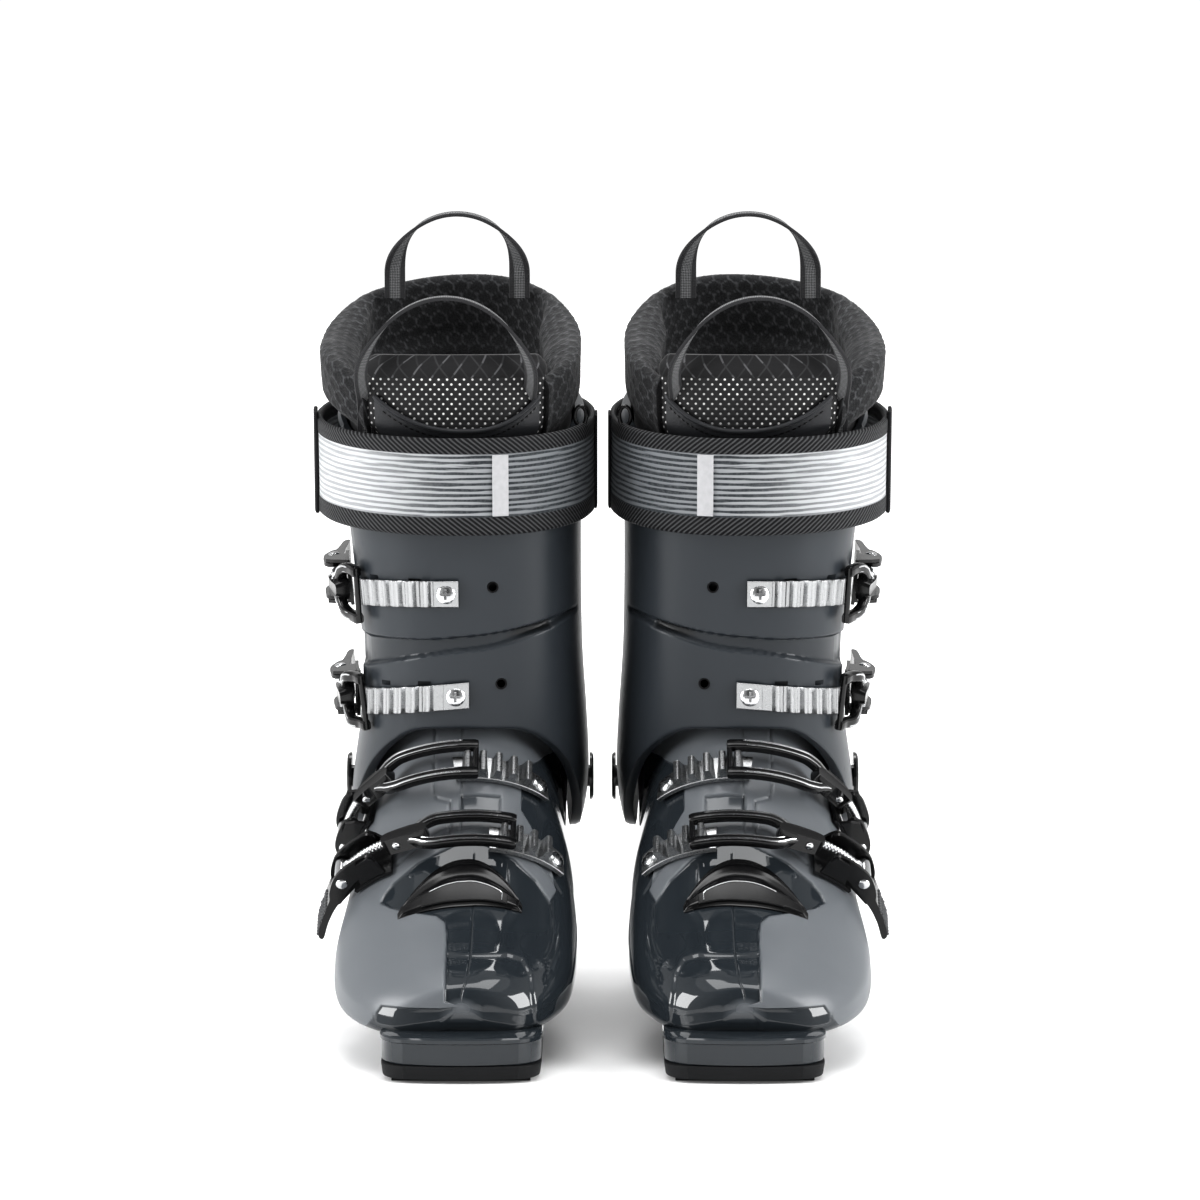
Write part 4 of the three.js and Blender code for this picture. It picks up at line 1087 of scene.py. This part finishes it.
def box_shape(centre, size):
    corners = np.array([(a, b, c) for a in (-1, 1) for b in (-1, 1) for c in (-1, 1)]) / 2
    faces = [(0, 1, 3, 2), (4, 6, 7, 5), (0, 4, 5, 1), (2, 3, 7, 6), (0, 2, 6, 4), (1, 5, 7, 3)]
    return corners * np.asarray(size) + np.asarray(centre), faces


def bush(start, axis, radius, bore, length, sides=24):
    """A hollow ring that starts at a point."""
    outline = ((radius, 0), (radius, length), (bore, length), (bore, 0))
    rings = turned_rings(start, axis, outline, sides)
    last = 3 * sides
    faces = strips(4, sides, ring=True)
    faces += [(last + j, last + (j + 1) % sides, (j + 1) % sides, j) for j in range(sides)]
    return rings.reshape(-1, 3), faces


def pivots():
    outer, inner = CUFF_OUTER[1][1], CUFF_INNER[2][1]
    for name, side, reach, height in (("outer", -1, outer, 2.4), ("inner", 1, inner, 2)):
        outline = [
            (PIVOT_PIN, -9), (PIVOT_PIN, 0), (PIVOT_HEAD, 0.02), (PIVOT_HEAD, 0.5 * height),
            (10.2, 0.86 * height), (8.4, height), (5.4, height), (5, 0.55 * height),
            (3.6, 0.5 * height), (3.4, 0.15 * height),
            (0.02, 0.1 * height),
        ]
        head = lathe((side * (reach + 0.8), PIVOT_Y, PIVOT_Z), (side, 0, 0), outline, 40)
        piece(f"pivot_{name}", head, BUCKLE, "lower", "pivot_metal",
              replaces=[f"cuff_pivot_{name}"], crisp=30)


def spine_screws():
    for k, height in enumerate((150, 222)):
        depth = float(cuff_rear(height)) + 1.2
        screw(f"spine_screw_{k + 1}", (0, depth, height), (0, 1, 0.25), 4.4, 1.8, "upper", "bright_metal")


def screw(name, centre, axis, radius, height, body, slot):
    """A domed screw head with a cross cut into it."""
    steps = np.linspace(0, math.pi / 2, 7)
    outline = [(radius, -1.5), (radius, 0.2)]
    outline += [(radius * math.cos(t) + 0.01, 0.2 + height * math.sin(t)) for t in steps[1:]]
    head = facing_out(lathe((0, 0, 0), (0, 0, 1), outline, 28))
    arm = radius * 1.05
    cross = [
        box_shape((0, 0, height), (*size, height * 1.3)) for size in ((arm, arm * 0.24), (arm * 0.24, arm))
    ]
    points, faces = carved(head, cross)
    piece(name, (np.asarray(centre) + points @ turn_to(axis).T, faces), CHROME, body, slot, crisp=28)


# ---------------------------------------------------------------- liner
def scallops(along, up, width=8.4, rise=4.9):
    """Rounded cells in staggered rows: how near a seam each point is, and how domed."""
    first = second = np.full(along.shape, np.inf)
    row = np.round(up / rise)
    for step in (-1, 0, 1):
        centre = (row + step) * rise
        offset = np.mod(row + step, 2) * width / 2
        nearest = np.round((along - offset) / width)
        for shift in (-1, 0, 1):
            dx = along - offset - (nearest + shift) * width
            distance = np.hypot(dx, (up - centre) * 1.25)
            second = np.minimum(second, np.maximum(first, distance))
            first = np.minimum(first, distance)
    return smooth(1.15, 0.25, second - first), smooth(4.6, 0, first)


def liner_shaft():
    """The liner's cuff: a quilted wall with a rounded rim, fatter at the sides of the leg."""
    angles = np.linspace(40, 320, 340)
    top = front_to_rear(angles, LINER_TOP)
    low, rim = 120.0, 5.5
    padding = 9 * smooth(38, 12, np.abs(np.abs(angles - 180) - 84))
    rows = []
    for share in np.concatenate([np.linspace(0, 0.66, 16, endpoint=False), np.linspace(0.66, 1, 66)]):
        z = mix(low, top - rim, share)
        rows.append(cuff_point(angles, z, liner_inset(angles, z)))
    outside = len(rows)
    for s in np.linspace(0, 1, 20)[1:-1]:
        across = (1 - math.cos(math.pi * s)) / 2
        z = top - rim * (1 - math.sin(math.pi * s) * 0.98) - 0.55 * padding * across
        inset = liner_inset(angles, top - rim) + (LINER_WALL + padding) * across
        rows.append(cuff_point(angles, z, inset))
    over_rim = len(rows)
    for share in np.concatenate([np.linspace(0, 0.4, 78, endpoint=False), np.linspace(0.4, 1, 16)]):
        z = mix(top - rim - 0.55 * padding, low, share)
        swollen = padding * smooth(60, 8, top - z)
        rows.append(cuff_point(angles, z, liner_inset(angles, z) + LINER_WALL + swollen))
    rows = np.array(rows)
    around = distances(rows[outside])
    down = np.stack([distances(rows[:, k]) for k in range(len(angles))], axis=1)
    seam, dome = scallops(np.broadcast_to(around, down.shape), down - down[outside])
    depth_inside = np.maximum(top - rows[..., 2], 0) * (np.arange(len(rows)) >= over_rim)[:, None]
    above_cuff = smooth(-2, 6, rows[..., 2] - front_to_rear(angles, CUFF_TOP))
    shown = above_cuff * smooth(44, 24, depth_inside)
    ends = smooth(0, 5, np.minimum(around, around[-1] - around))
    relief = (0.35 * seam + 0.45 * dome) * shown * ends - 1.2 * (1 - ends)
    ripple = 0.5 * np.sin(around / 17.0) * np.sin(rows[..., 2] / 13.0) * shown
    rows = raised(rows, relief + ripple, ring=False)
    points, faces = lofted(np.swapaxes(rows, 0, 1))
    layer = np.zeros(len(points))
    layer[: down.size] = (seam * shown).T.ravel()
    piece("liner_cuff", (points, faces), FELT, "upper", "liner_felt", replaces=["liner_shaft"],
          layers={"seam": layer}, crisp=80)


def padded_ring(z, half_angle, start, thickness, proud=0.0):
    """One closed ring round a pad of the tongue at a height."""
    corner = 5
    spread = np.linspace(-1, 1, 64)
    angles = half_angle * spread
    edge = np.clip((1 - np.abs(spread)) * half_angle * 0.9 / corner, 0, 1)
    round_off = 1 - np.sqrt(1 - (1 - edge) ** 2)
    inset = liner_inset(angles, z)
    front = cuff_point(angles, z, inset + start - proud + round_off * thickness * 0.45)
    back = cuff_point(angles, z, inset + start + thickness - round_off * thickness * 0.45)
    return np.vstack([front, back[::-1]])


def tongue_edge(angles):
    """The height of the leather's curved upper edge."""
    return 275 + 12.5 * (np.abs(angles) / 30.0) ** 1.8


def tongue():
    heights = np.linspace(130, 264, 60)
    thickness = np.full(len(heights), 7.4)
    thickness[[0, -1]] -= 3, 2
    rings = [
        padded_ring(z, 36, 0.6, thick, proud=0.25 * math.sin(z / 9)) for z, thick in zip(heights, thickness)
    ]
    piece("tongue_body", lofted(rings), LEATHER, "upper", "tongue_leather",
          replaces=["liner_tongue"], crisp=60)
    levels = np.linspace((262, 42.5, 0.9, 7), (299, 42.3, 0.9, 7), 44)
    grid_layer("tongue_mesh", levels, MESH, 0)
    levels = []
    for s in np.linspace(0, 1, 14):
        swell = math.sin(math.pi * (min(s * 1.15, 1) if s < 0.87 else s))
        half_angle = 42.4 - 22 * max(s - 0.5, 0) ** 2
        levels.append((297.6 + 11.6 * s, half_angle, 1.6 - 1.5 * swell, 6.2 + 2.4 * swell))
    grid_layer("tongue_band", levels, CLOTH, 1)
    angles = np.linspace(-34, 34, 70)
    a, s = np.meshgrid(angles, np.linspace(0, 1, 22))
    z = mix(258, tongue_edge(a), s)
    inset = liner_inset(a, z) + 0.7
    over, under = cuff_point(a, z, inset - 1.4), cuff_point(a, z, inset + 0.1)
    piece("tongue_overlay", wall(over, under), LEATHER, "upper", "tongue_leather", crisp=60)
    z = tongue_edge(angles)
    pipe = cuff_point(angles, z, liner_inset(angles, z) - 0.9)
    piece("tongue_piping", tube(pipe, 1.15, up=(0, -1, 0.3), sides=12, taper=0.3), LEATHER,
          "upper", "tongue_leather")
    stitches = []
    for middle in np.arange(-31, 31.1, 2.4):
        reach = np.linspace(middle - 0.75, middle + 0.75, 4)
        z = tongue_edge(reach) - 3.4
        path = cuff_point(reach, z, liner_inset(reach, z) - 0.95)
        stitches.append(tube(path, 0.32, up=(0, -1, 0.3), sides=6, taper=0.5))
    several("tongue_stitches", stitches, TRIM, "upper", "tongue_leather")


def grid_layer(name, levels, material, band):
    """A padded part of the tongue with its measured directions kept for its cloth."""
    rings = np.array([padded_ring(*level) for level in levels])
    points, faces = lofted(rings)
    around = distances(rings[len(rings) // 2])
    around = around - around[len(around) // 4]
    weave = np.zeros((len(points), 3))
    count = rings.shape[0] * rings.shape[1]
    weave[:count, 0] = np.tile(around, len(rings))
    weave[:count, 1] = rings[..., 2].ravel() - 262
    weave[count:] = weave[0]
    piece(name, (points, faces), material, "upper", "tongue_leather", crisp=60,
          layers={"weave": weave, "band": np.full(len(points), float(band))})


def ribbon(name, replaced, half_width, height, tuck, lean, place, foot_width, top_width):
    """A webbing loop: flat to the front at its feet, turning edge-on at its top.

    tuck bends the feet backwards under the rim, and lean tilts the whole loop in degrees.
    """
    legs, thickness = 12, 1.5
    angle = np.linspace(0, math.pi, 90)
    arch = np.column_stack([half_width * np.cos(angle), 0 * angle, height * np.sin(angle)])
    leg = np.linspace(legs, 0, 10, endpoint=False)
    first = np.column_stack([0 * leg + half_width, 0 * leg, -leg])
    path = np.vstack([first, arch, first[::-1] * np.array([-1, 1, 1])])
    tucked = tuck * smooth(26, -3, path[:, 2])
    path += np.column_stack([-0.4 * tucked * np.sign(path[:, 0]), tucked, 0 * tucked])
    along = unit(np.gradient(path, axis=0))
    sideways = np.cross(along, (0, 1, 0))
    turn = smooth(-0.2, 0.92, path[:, 2] / height) * math.pi / 2
    across = sideways * np.cos(turn)[:, None] + np.array([0, 1, 0]) * np.sin(turn)[:, None]
    stand = np.cross(along, across)
    width = mix(foot_width, top_width, smooth(0, 0.9, path[:, 2] / height))
    section = np.array([
        (-1, -0.25), (-0.96, -0.5), (-0.5, -0.5), (0, -0.5), (0.5, -0.5), (0.96, -0.5), (1, -0.25),
        (1, 0.25), (0.96, 0.5), (0.5, 0.5), (0, 0.5), (-0.5, 0.5), (-0.96, 0.5), (-1, 0.25),
    ])
    tilt = Matrix.Rotation(math.radians(lean), 3, "X")
    rings = path[:, None] + across[:, None] * (section[:, 0, None] * 0.5) * width[:, None, None]
    rings = rings + stand[:, None] * section[:, 1, None] * thickness
    rings = rings @ np.array(tilt).T + np.asarray(place)
    points, faces = lofted(rings)
    weave = np.zeros((len(points), 3))
    count = len(path) * len(section)
    weave[:count, 0] = distances(path).repeat(len(section))
    weave[:count, 1] = (width[:, None] * (section[:, 0] * 0.5)).ravel()
    piece(name, (points, faces), WEBBING, "upper", "webbing",
          replaces=[replaced], layers={"weave": weave}, crisp=60)


# ---------------------------------------------------------------- power strap
def strap_point(degrees, up, inset=0.0):
    """A place on the strap: degrees as on the cuff, up 0 to 1 from its lower edge."""
    forward, outward = np.cos(np.radians(degrees)), np.sin(np.radians(degrees))
    front, rear, outer_side, inner_side = -59, 106, 68.6, 58.3
    lower_edge, roundness = 229, 2 / 2.25
    width = np.where(outward > 0, outer_side, inner_side) - inset
    x = -width * signed_power(outward, roundness)
    length = (rear - front) / 2 - inset
    y = (rear + front) / 2 - length * signed_power(forward, roundness)
    z = lower_edge + 0.08 * (y - front) + up * STRAP_HEIGHT
    return np.stack([x, y - 0.2 * up * STRAP_HEIGHT, z], -1)


def strap_degrees(x):
    """Where round the strap's front a given x lies."""
    angles = np.linspace(-89, 89, 1781)
    return float(angles[np.abs(strap_point(angles, 0.5)[:, 0] - x).argmin()])


def strap_patch(name, degrees, rise, insets, material, bevel):
    """A thin plate on the strap, between two angles, two shares of its height and two insets."""
    a, u = np.meshgrid(np.linspace(*degrees, 12), np.linspace(*rise, 24))
    shape = wall(*[strap_point(a, u, inset) for inset in insets])
    piece(name, shape, material, "upper", "strap_fabric", bevel=bevel)


def strap():
    degrees = np.linspace(0, 360, 300, endpoint=False)
    rows = np.linspace(0, 1, 45)
    angle, up = np.meshgrid(degrees, rows)
    edge = np.minimum(up, 1 - up) * STRAP_HEIGHT
    round_off = 1.2 * (1 - np.sqrt(np.clip(1 - (1 - np.clip(edge / 1.4, 0, 1)) ** 2, 0, 1)))
    border = 0.35 * smooth(14.2, 14.8, np.abs(up * STRAP_HEIGHT - STRAP_MIDDLE))
    wave = 0.35 * np.sin(np.radians(angle) * 7) * np.sin(up * 5)
    outer = strap_point(angle, up, round_off - border - wave * 0.5 + 0.4)
    inner = strap_point(angle, up, 3 - round_off)
    points, faces = wall(outer, inner, ring=True)
    length = distances(outer[len(rows) // 2])
    length = np.where(degrees > 180, length - 2 * length[-1] + length[-2], length)
    weave = np.zeros((len(points), 3))
    weave[:, 0] = -np.tile(length, 2 * len(rows))
    weave[:, 1] = np.tile((up * STRAP_HEIGHT).ravel(), 2)
    piece("strap_band", (points, faces), STRAP, "upper", "strap_fabric", replaces=["power_strap"],
          layers={"weave": weave}, crisp=70)
    label = sorted((strap_degrees(12.6), strap_degrees(19.6)))
    strap_patch("strap_label", label, (0.2, 0.83), (-0.5, 0.6), LABEL, 0.2)
    strap_patch("strap_tab", (79, 90), (-0.01, 1.05), (-1.4, 0.3), WEB_BLACK, 0.5)
    strap_patch("strap_fold", (-93, -84), (0.01, 0.99), (-0.8, 0.3), WEB_BLACK, 0.5)
    ring_at = strap_point(-66, 1.0, 2.5) + np.array([0, 0, 3])
    turn = np.linspace(0, 2 * math.pi, 25)
    loop = ring_at + np.column_stack([2.6 * np.cos(turn), np.zeros(25), 4.4 * np.sin(turn)])
    piece("strap_ring", tube(loop, 0.9, up=(0, 1, 0)), TRIM, "upper", "strap_fabric")


# ---------------------------------------------------------------- buckles
# Millimetres along and above a track: the lever's pivot stands at 0, HUB, the bail's at -THROW, HUB.
HUB, THROW = 9, 13
FOOT = {"pitch": 6.2, "back": 9, "bar_low": 7, "arm": 10.4, "tip": 6, "foot": True}
SHAFT = {"pitch": 6.6, "back": 8, "bar_low": 3.4, "arm": 13, "tip": 1, "foot": False}
BAR_TO_TOOTH = 3.15


def divided(points, longest=3):
    """A closed outline with its edges cut short enough to follow a curve."""
    points = np.asarray(points, float)
    result = []
    for a, b in zip(points, np.roll(points, -1, axis=0)):
        parts = max(1, math.ceil(abs(b[0] - a[0]) / longest))
        result += [a + (b - a) * k / parts for k in range(parts)]
    return np.array(result)


def softened(points, longest=2.0):
    """A closed outline with its corners cut round."""
    points = np.asarray(points, float)
    for _ in range(2):
        following = np.roll(points, -1, axis=0)
        points = np.stack([mix(points, following, 0.2), mix(points, following, 0.8)], 1).reshape(-1, 2)
    return divided(points, longest)


def ranged(low, high, step):
    return np.linspace(low, high, max(2, math.ceil(abs(high - low) / step)))


def lever(name, track, spec, reach, body):
    cheek = softened([
        (3.9, HUB - 1.6), (3.9, HUB + 2), (1, HUB + 4.2), (-5, HUB + 4.7), (-THROW, HUB + 4.7),
        (-22, HUB + 1), (-23, 6), (-22, 4), (-THROW, 4.6), (-4, 4.8), (1.5, HUB - 4),
    ])
    cheeks = [slab(track.place, cheek, *widths) for widths in ((6.7, 8.4), (-8.4, -6.7))]
    tip = spec["tip"]
    knee, end = (29, HUB - 1.6 + 0.4 * tip), (reach - 2, 6.6 + tip)
    grip = softened([
        (-19.6, 4.4), (-19.6, HUB + 0.4), (-knee[0], knee[1]), (-end[0], end[1]), (-reach, 5 + tip),
        (-reach + 1, 3.6 + tip), (-knee[0], 4.2 + 0.4 * tip),
    ])
    several(f"{name}_lever_body", [slab(track.place, grip, -8.1, 8.1), *cheeks], BUCKLE, body,
            "buckle_metal", replaces=[f"{name}_lever"], bevel=0.45, crisp=35)
    metal = [
        dome(track.place(length, HUB, side * 8.3), side * track.axis, 2.8, 1.2)
        for length in (0, -THROW) for side in (1, -1)
    ]
    metal.append(tube([track.place(-THROW, HUB, width) for width in (-6.9, 6.9)], 1.45, sides=14))
    several(f"{name}_rivets", metal, CHROME, body, "buckle_metal")
    studs, spacing = [], 2.05
    stud = [(0.85, 0), (0.75, 0.7), (0.4, 1.0), (0.02, 1.08)]
    for i, length in enumerate(np.arange(-reach + 2.6, -reach + 16, spacing)):
        height = np.interp(-length, *zip(knee, end)) - 0.35
        for width in np.arange(-6.6, 6.7, spacing) + (0.5 if i % 2 else -0.5):
            studs.append(lathe(track.place(length, height, width), track.outward(length), stud, 7))
    several(f"{name}_grip", studs, GRIP, body, "buckle_metal")


def bail_height(length, bar, spec):
    return mix(HUB - 2.6, spec["bar_low"], smooth(14, min(34, bar - 4), length))


def bail(name, track, spec, body):
    bar, arm = track.bar, spec["arm"]
    shoulder = min(26, bar - 13)
    neck, end = shoulder - 4, bar + 0.9
    at = [neck - 5, neck - 1, shoulder - 1, shoulder + 2.5, end]
    steps = np.concatenate([*(ranged(a, b, 1.2)[:-1] for a, b in zip(at, at[1:])), [end]])
    width = np.interp(steps, at, [1.8, 2.4, arm - 3.8, arm - 2.1, arm - 2.1])
    width = np.convolve(np.pad(width, 2, mode="edge"), np.ones(5) / 5, "valid")
    height = bail_height(steps, bar, spec)
    up = track.outward(steps)
    shapes, lines = [], []
    for side in (1, -1):
        path = track.place(steps, height + 1.35, side * width)
        shapes.append(tube(path, 2.45, up=up, sides=12, flat=0.92, square=0.5, taper=0.15))
        for shift, radius, part in ((1.2, 0.55, slice(1, -5)), (-1.4, 0.34, slice(5, -6))):
            ridge = track.place(steps, height + 3.35, side * (width + shift))
            lines.append(tube(ridge[part], radius, up=up[part], sides=8, taper=0.5))
    cross = np.linspace(-arm + 0.4, arm - 0.4, 12)
    cross_bar = track.place(bar, bail_height(bar, bar, spec) + 1.3, cross)
    shapes.append(tube(cross_bar, 1.3, up=track.outward(bar), sides=14))
    yoke = softened([
        (neck - 14, -3.6), (neck - 12, -5.4), (neck + 1, -6.4), (neck + 5, -4.4),
        (neck + 5, 4.4), (neck + 1, 6.4), (neck - 12, 5.4), (neck - 14, 3.6),
    ])
    low = np.minimum(bail_height(yoke[:, 0], bar, spec), HUB - 2.2) - 0.9
    floor = track.place(yoke[:, 0], low, yoke[:, 1])
    ceiling = track.place(yoke[:, 0], low + 6.3, yoke[:, 1] * 0.55)
    shapes.append(between(floor, ceiling, yoke))
    for side in (1, -1):
        rivet = track.place(neck - 8.5, HUB - 0.4, side * 4.7)
        lines.append(dome(rivet, side * track.axis, 1.9, 0.9, 14))
    several(f"{name}_bail_frame", shapes, BUCKLE, body, "buckle_metal",
            replaces=[f"{name}_bail"], crisp=50)
    several(f"{name}_bail_lines", lines, CHROME, body, "buckle_metal")
    start, thread = ranged(-THROW + 3.4, neck - 11, 0.25), 1.5
    wave = 1.75 + 0.28 * np.abs(((start / thread) % 1) * 2 - 1) * 2
    link = tube(track.place(start, HUB - 0.1), wave, up=track.outward(start), sides=16)
    barrel = tube([track.place(-THROW, HUB, width) for width in (-5.6, 5.6)], 3.4, sides=22)
    ends = [track.place(-THROW + length, HUB - 0.1) for length in (3, 5.4)]
    nut = tube(ends, 2.9, up=track.outward(-THROW + 4), sides=6)
    several(f"{name}_link", [link, barrel, nut], CHROME, body, "buckle_metal", bevel=0.25, crisp=35)


def tooth(centre):
    """The outline of one tall tooth of a foot ladder."""
    return softened([(centre + length, height) for length, height in (
        (-3.1, 2.6), (-2.5, 3.2), (-1.6, 4.4), (-1.4, 7.4), (-0.8, 8.3),
        (0.8, 8.3), (1.4, 7.4), (1.1, 5.2), (1.8, 3.5), (3, 2.6),
    )])


def ladder(name, track, spec, body):
    is_foot, end = spec["foot"], track.end
    pad, lift, seat, head = (8, 3.0, end - 4.5, 4.2) if is_foot else (11, 2.2, end - 5.6, 4.4)
    start = track.bar - spec["back"]
    first = track.bar - BAR_TO_TOOTH
    while first - spec["pitch"] > start + 1:
        first -= spec["pitch"]
    centres = np.arange(first, end - pad - 1, spec["pitch"])
    lengths = ranged(start, end, 1.5 if is_foot else 0.33)
    if is_foot:
        top = np.full(len(lengths), 3.2)
    else:
        phase = np.abs(lengths[:, None] - centres).min(axis=1)
        top = 1.5 + 2.4 * smooth(2.7, 1.4, phase) - 0.35 * smooth(0.7, 0, phase)
        top = np.where(lengths > end - pad, 2.3, top)
    widths = (-6, -5.7, -3, 0, 3, 5.7, 6)
    over = np.array([track.hug(lengths, top - (0.3 if abs(width) == 6 else 0), width) for width in widths])
    under = np.array([track.hug(lengths, 1.0, width) for width in widths])
    shapes = [wall(over, under)]
    if is_foot:
        shapes += [slab(track.place, tooth(centre), -5.7, 5.7) for centre in centres]
    several(f"{name}_ladder_strip", shapes, BRUSHED, body, "bright_metal",
            replaces=[f"{name}_ladder"], bevel=0.22, crisp=32)
    place = track.hug(seat, lift, 0)
    screw(f"{name}_screw", place, track.outward(seat), head, 1.7, body, "bright_metal")


def buckles():
    """Each buckle's lever and bail run on one track, and its ladder on its own or the same."""
    toe = shell_track(-59, 92, 32, pivot=("x", -38.8, 20), bar_x=19.5, end_x=41.5)
    instep = shell_track(-32.5, 120.5, 40, pivot=("x", -44, 50), bar_x=4, end_x=34)
    lower = {"pivot": ("y", 22), "bar_x": -43, "end_x": 1}
    upper = {"pivot": ("y", 17), "bar_x": -45, "end_x": -3}
    lower_lever, lower_ladder = cuff_track(-26, 150, 8, 6, **lower), cuff_track(-27.2, 154, -3, 5, **lower)
    upper_lever, upper_ladder = cuff_track(-37, 198, 8, 3, **upper), cuff_track(-38.2, 201, -3, 0, **upper)
    for name, track, ladder_track, spec, reach, body in (
        ("toe", toe, toe, FOOT, 42, "lower"),
        ("instep", instep, instep, FOOT, 40, "lower"),
        ("lower_cuff", lower_lever, lower_ladder, SHAFT, 42, "upper"),
        ("upper_cuff", upper_lever, upper_ladder, SHAFT, 42, "upper"),
    ):
        lever(name, track, spec, reach, f"{name}_lever")
        bail(name, track, spec, f"{name}_bail")
        ladder(name, ladder_track, spec, body)


# ---------------------------------------------------------------- inside, and nodes kept
def footbed_sock():
    """The liner's foot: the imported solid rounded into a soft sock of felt."""
    for side, _ in SIDES:
        source = frame["nodes"][f"{side}_liner_foot"]
        mesh = source.data.copy()
        mesh.materials.clear()
        sock = in_scene(f"{side}_liner_sock", mesh)
        remesh = sock.modifiers.new("remesh", "REMESH")
        remesh.mode, remesh.voxel_size, remesh.use_smooth_shade = "VOXEL", 2.6 * MM, True
        easing = sock.modifiers.new("easing", "SMOOTH")
        easing.factor, easing.iterations = 0.5, 12
        mesh.materials.append(FLEECE)
        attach(sock, f"{side}_lower")
        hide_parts(f"{side}_liner_foot")


def keep_node(node, material, bevel):
    for side, _ in SIDES:
        kept = frame["nodes"][f"{side}_{node}"]
        kept.data.materials.clear()
        kept.data.materials.append(material)
        rounding = kept.modifiers.new("rounding", "BEVEL")
        rounding.width, rounding.segments, rounding.limit_method = bevel * MM, 2, "ANGLE"


# ---------------------------------------------------------------- floor, light and camera
# Area lights: place, aim, width, length and power.
LIGHTS = {
    "key_left": ((-1.6, -0.7, 0.75), (0, 0, 0.16), 0.7, 1.1, 30),
    "key_right": ((1.6, -0.7, 0.75), (0, 0, 0.16), 0.7, 1.1, 30),
    "overhead": ((0, -0.35, 1.45), (0, -0.1, 0.1), 1.1, 0.8, 13),
    "rear_top": ((0, 0.6, 1.4), (0, -0.1, 0.1), 0.9, 0.5, 11),
}
SUN_ENERGY, SUN_ANGLE, SUN_TILT = 0.55, 1.2, 12
FLOOR_HALF = 6
CAMERA_AIM, CAMERA_DISTANCE, CAMERA_ELEVATION = (-0.00125, 0, 0.1944), 2.6, 6
LENS, SENSOR = 171.63, 36


def looking(place, aim):
    """The turn of a light or camera that looks from a place towards an aim."""
    return (Vector(aim) - Vector(place)).to_track_quat("-Z", "Y").to_euler()


def lights():
    for name, (place, aim, width, length, power) in LIGHTS.items():
        data = bpy.data.lights.new(name, "AREA")
        data.shape, data.size, data.size_y, data.energy = "RECTANGLE", width, length, power
        light = in_scene(name, data)
        light.location = place
        light.rotation_euler = looking(place, aim)
    data = bpy.data.lights.new("sun", "SUN")
    data.energy, data.angle = SUN_ENERGY, SUN_ANGLE
    in_scene("sun", data).rotation_euler = (math.radians(SUN_TILT), 0, 0)


def floor_and_backdrop():
    """White round the object and away from it, and darker where it faces the viewer: the floor glows,
    painted light, and its glow fades near the object, a painted shade round it.
    """
    paint = Paint("floor", (0.85, 0.85, 0.85), 0.5, specular=0.2)
    across, ahead = paint.xy(paint.place)
    # Painted light: the floor glows, strongly far from the object and faintly near it and in front of it,
    # which paints a soft shade round the boots.
    paint.look("Emission Color", (1, 1, 1, 1))
    paint.look("Emission Strength", abs(across).math("MAXIMUM", ahead).spread(0.3, 1.6, 0.1, 0.8))
    corners = [(-1, -1), (1, -1), (1, 1), (-1, 1)]
    mesh = raw_mesh("floor", [(FLOOR_HALF * x, FLOOR_HALF * y, 0) for x, y in corners], [(0, 1, 2, 3)])
    mesh.materials.append(paint.material)
    in_scene("floor", mesh)
    world = bpy.data.worlds.new("studio")
    sky = Nodes(world)
    across, ahead = sky.xy(sky.value("Generated", "ShaderNodeTexCoord"))
    background = sky.nodes["Background"]
    sky.set(background, "Color", (1, 1, 1, 1))
    strength = abs(across).math("MAXIMUM", ahead).spread(0.1, 0.9, 0.12, 1.05, "LINEAR")
    sky.set(background, "Strength", strength)
    bpy.context.scene.world = world
    bpy.context.scene.view_settings.view_transform = "Standard"
    bpy.context.scene.view_settings.gamma = 0.8


def camera():
    data = bpy.data.cameras.new("camera")
    data.lens, data.sensor_width = LENS, SENSOR
    made = in_scene("camera", data)
    elevation, aim = math.radians(CAMERA_ELEVATION), Vector(CAMERA_AIM)
    made.location = aim + CAMERA_DISTANCE * Vector((0, -math.cos(elevation), math.sin(elevation)))
    made.rotation_euler = looking(made.location, aim)
    bpy.context.scene.camera = made


camera()
lights()
floor_and_backdrop()
shell_moulding()
soles()
badge()
cuff_moulding()
pivots()
spine_screws()
liner_shaft()
tongue()
ribbon(
    "rear_webbing", "rear_loop", half_width=28.7, height=27, tuck=0, lean=6,
    place=(-5.5, 49.5, 341), foot_width=9.5, top_width=7.5,
)
ribbon(
    "tongue_webbing", "tongue_loop", half_width=41.5, height=53, tuck=16, lean=4.8,
    place=(-8, -57, 282), foot_width=9.5, top_width=6.5,
)
strap()
buckles()
footbed_sock()
keep_node("boot_board", BOARD, 0.6)
for buckle_name in ("toe", "instep", "lower_cuff", "upper_cuff"):
    keep_node(f"{buckle_name}_base", BUCKLE, 0.3)
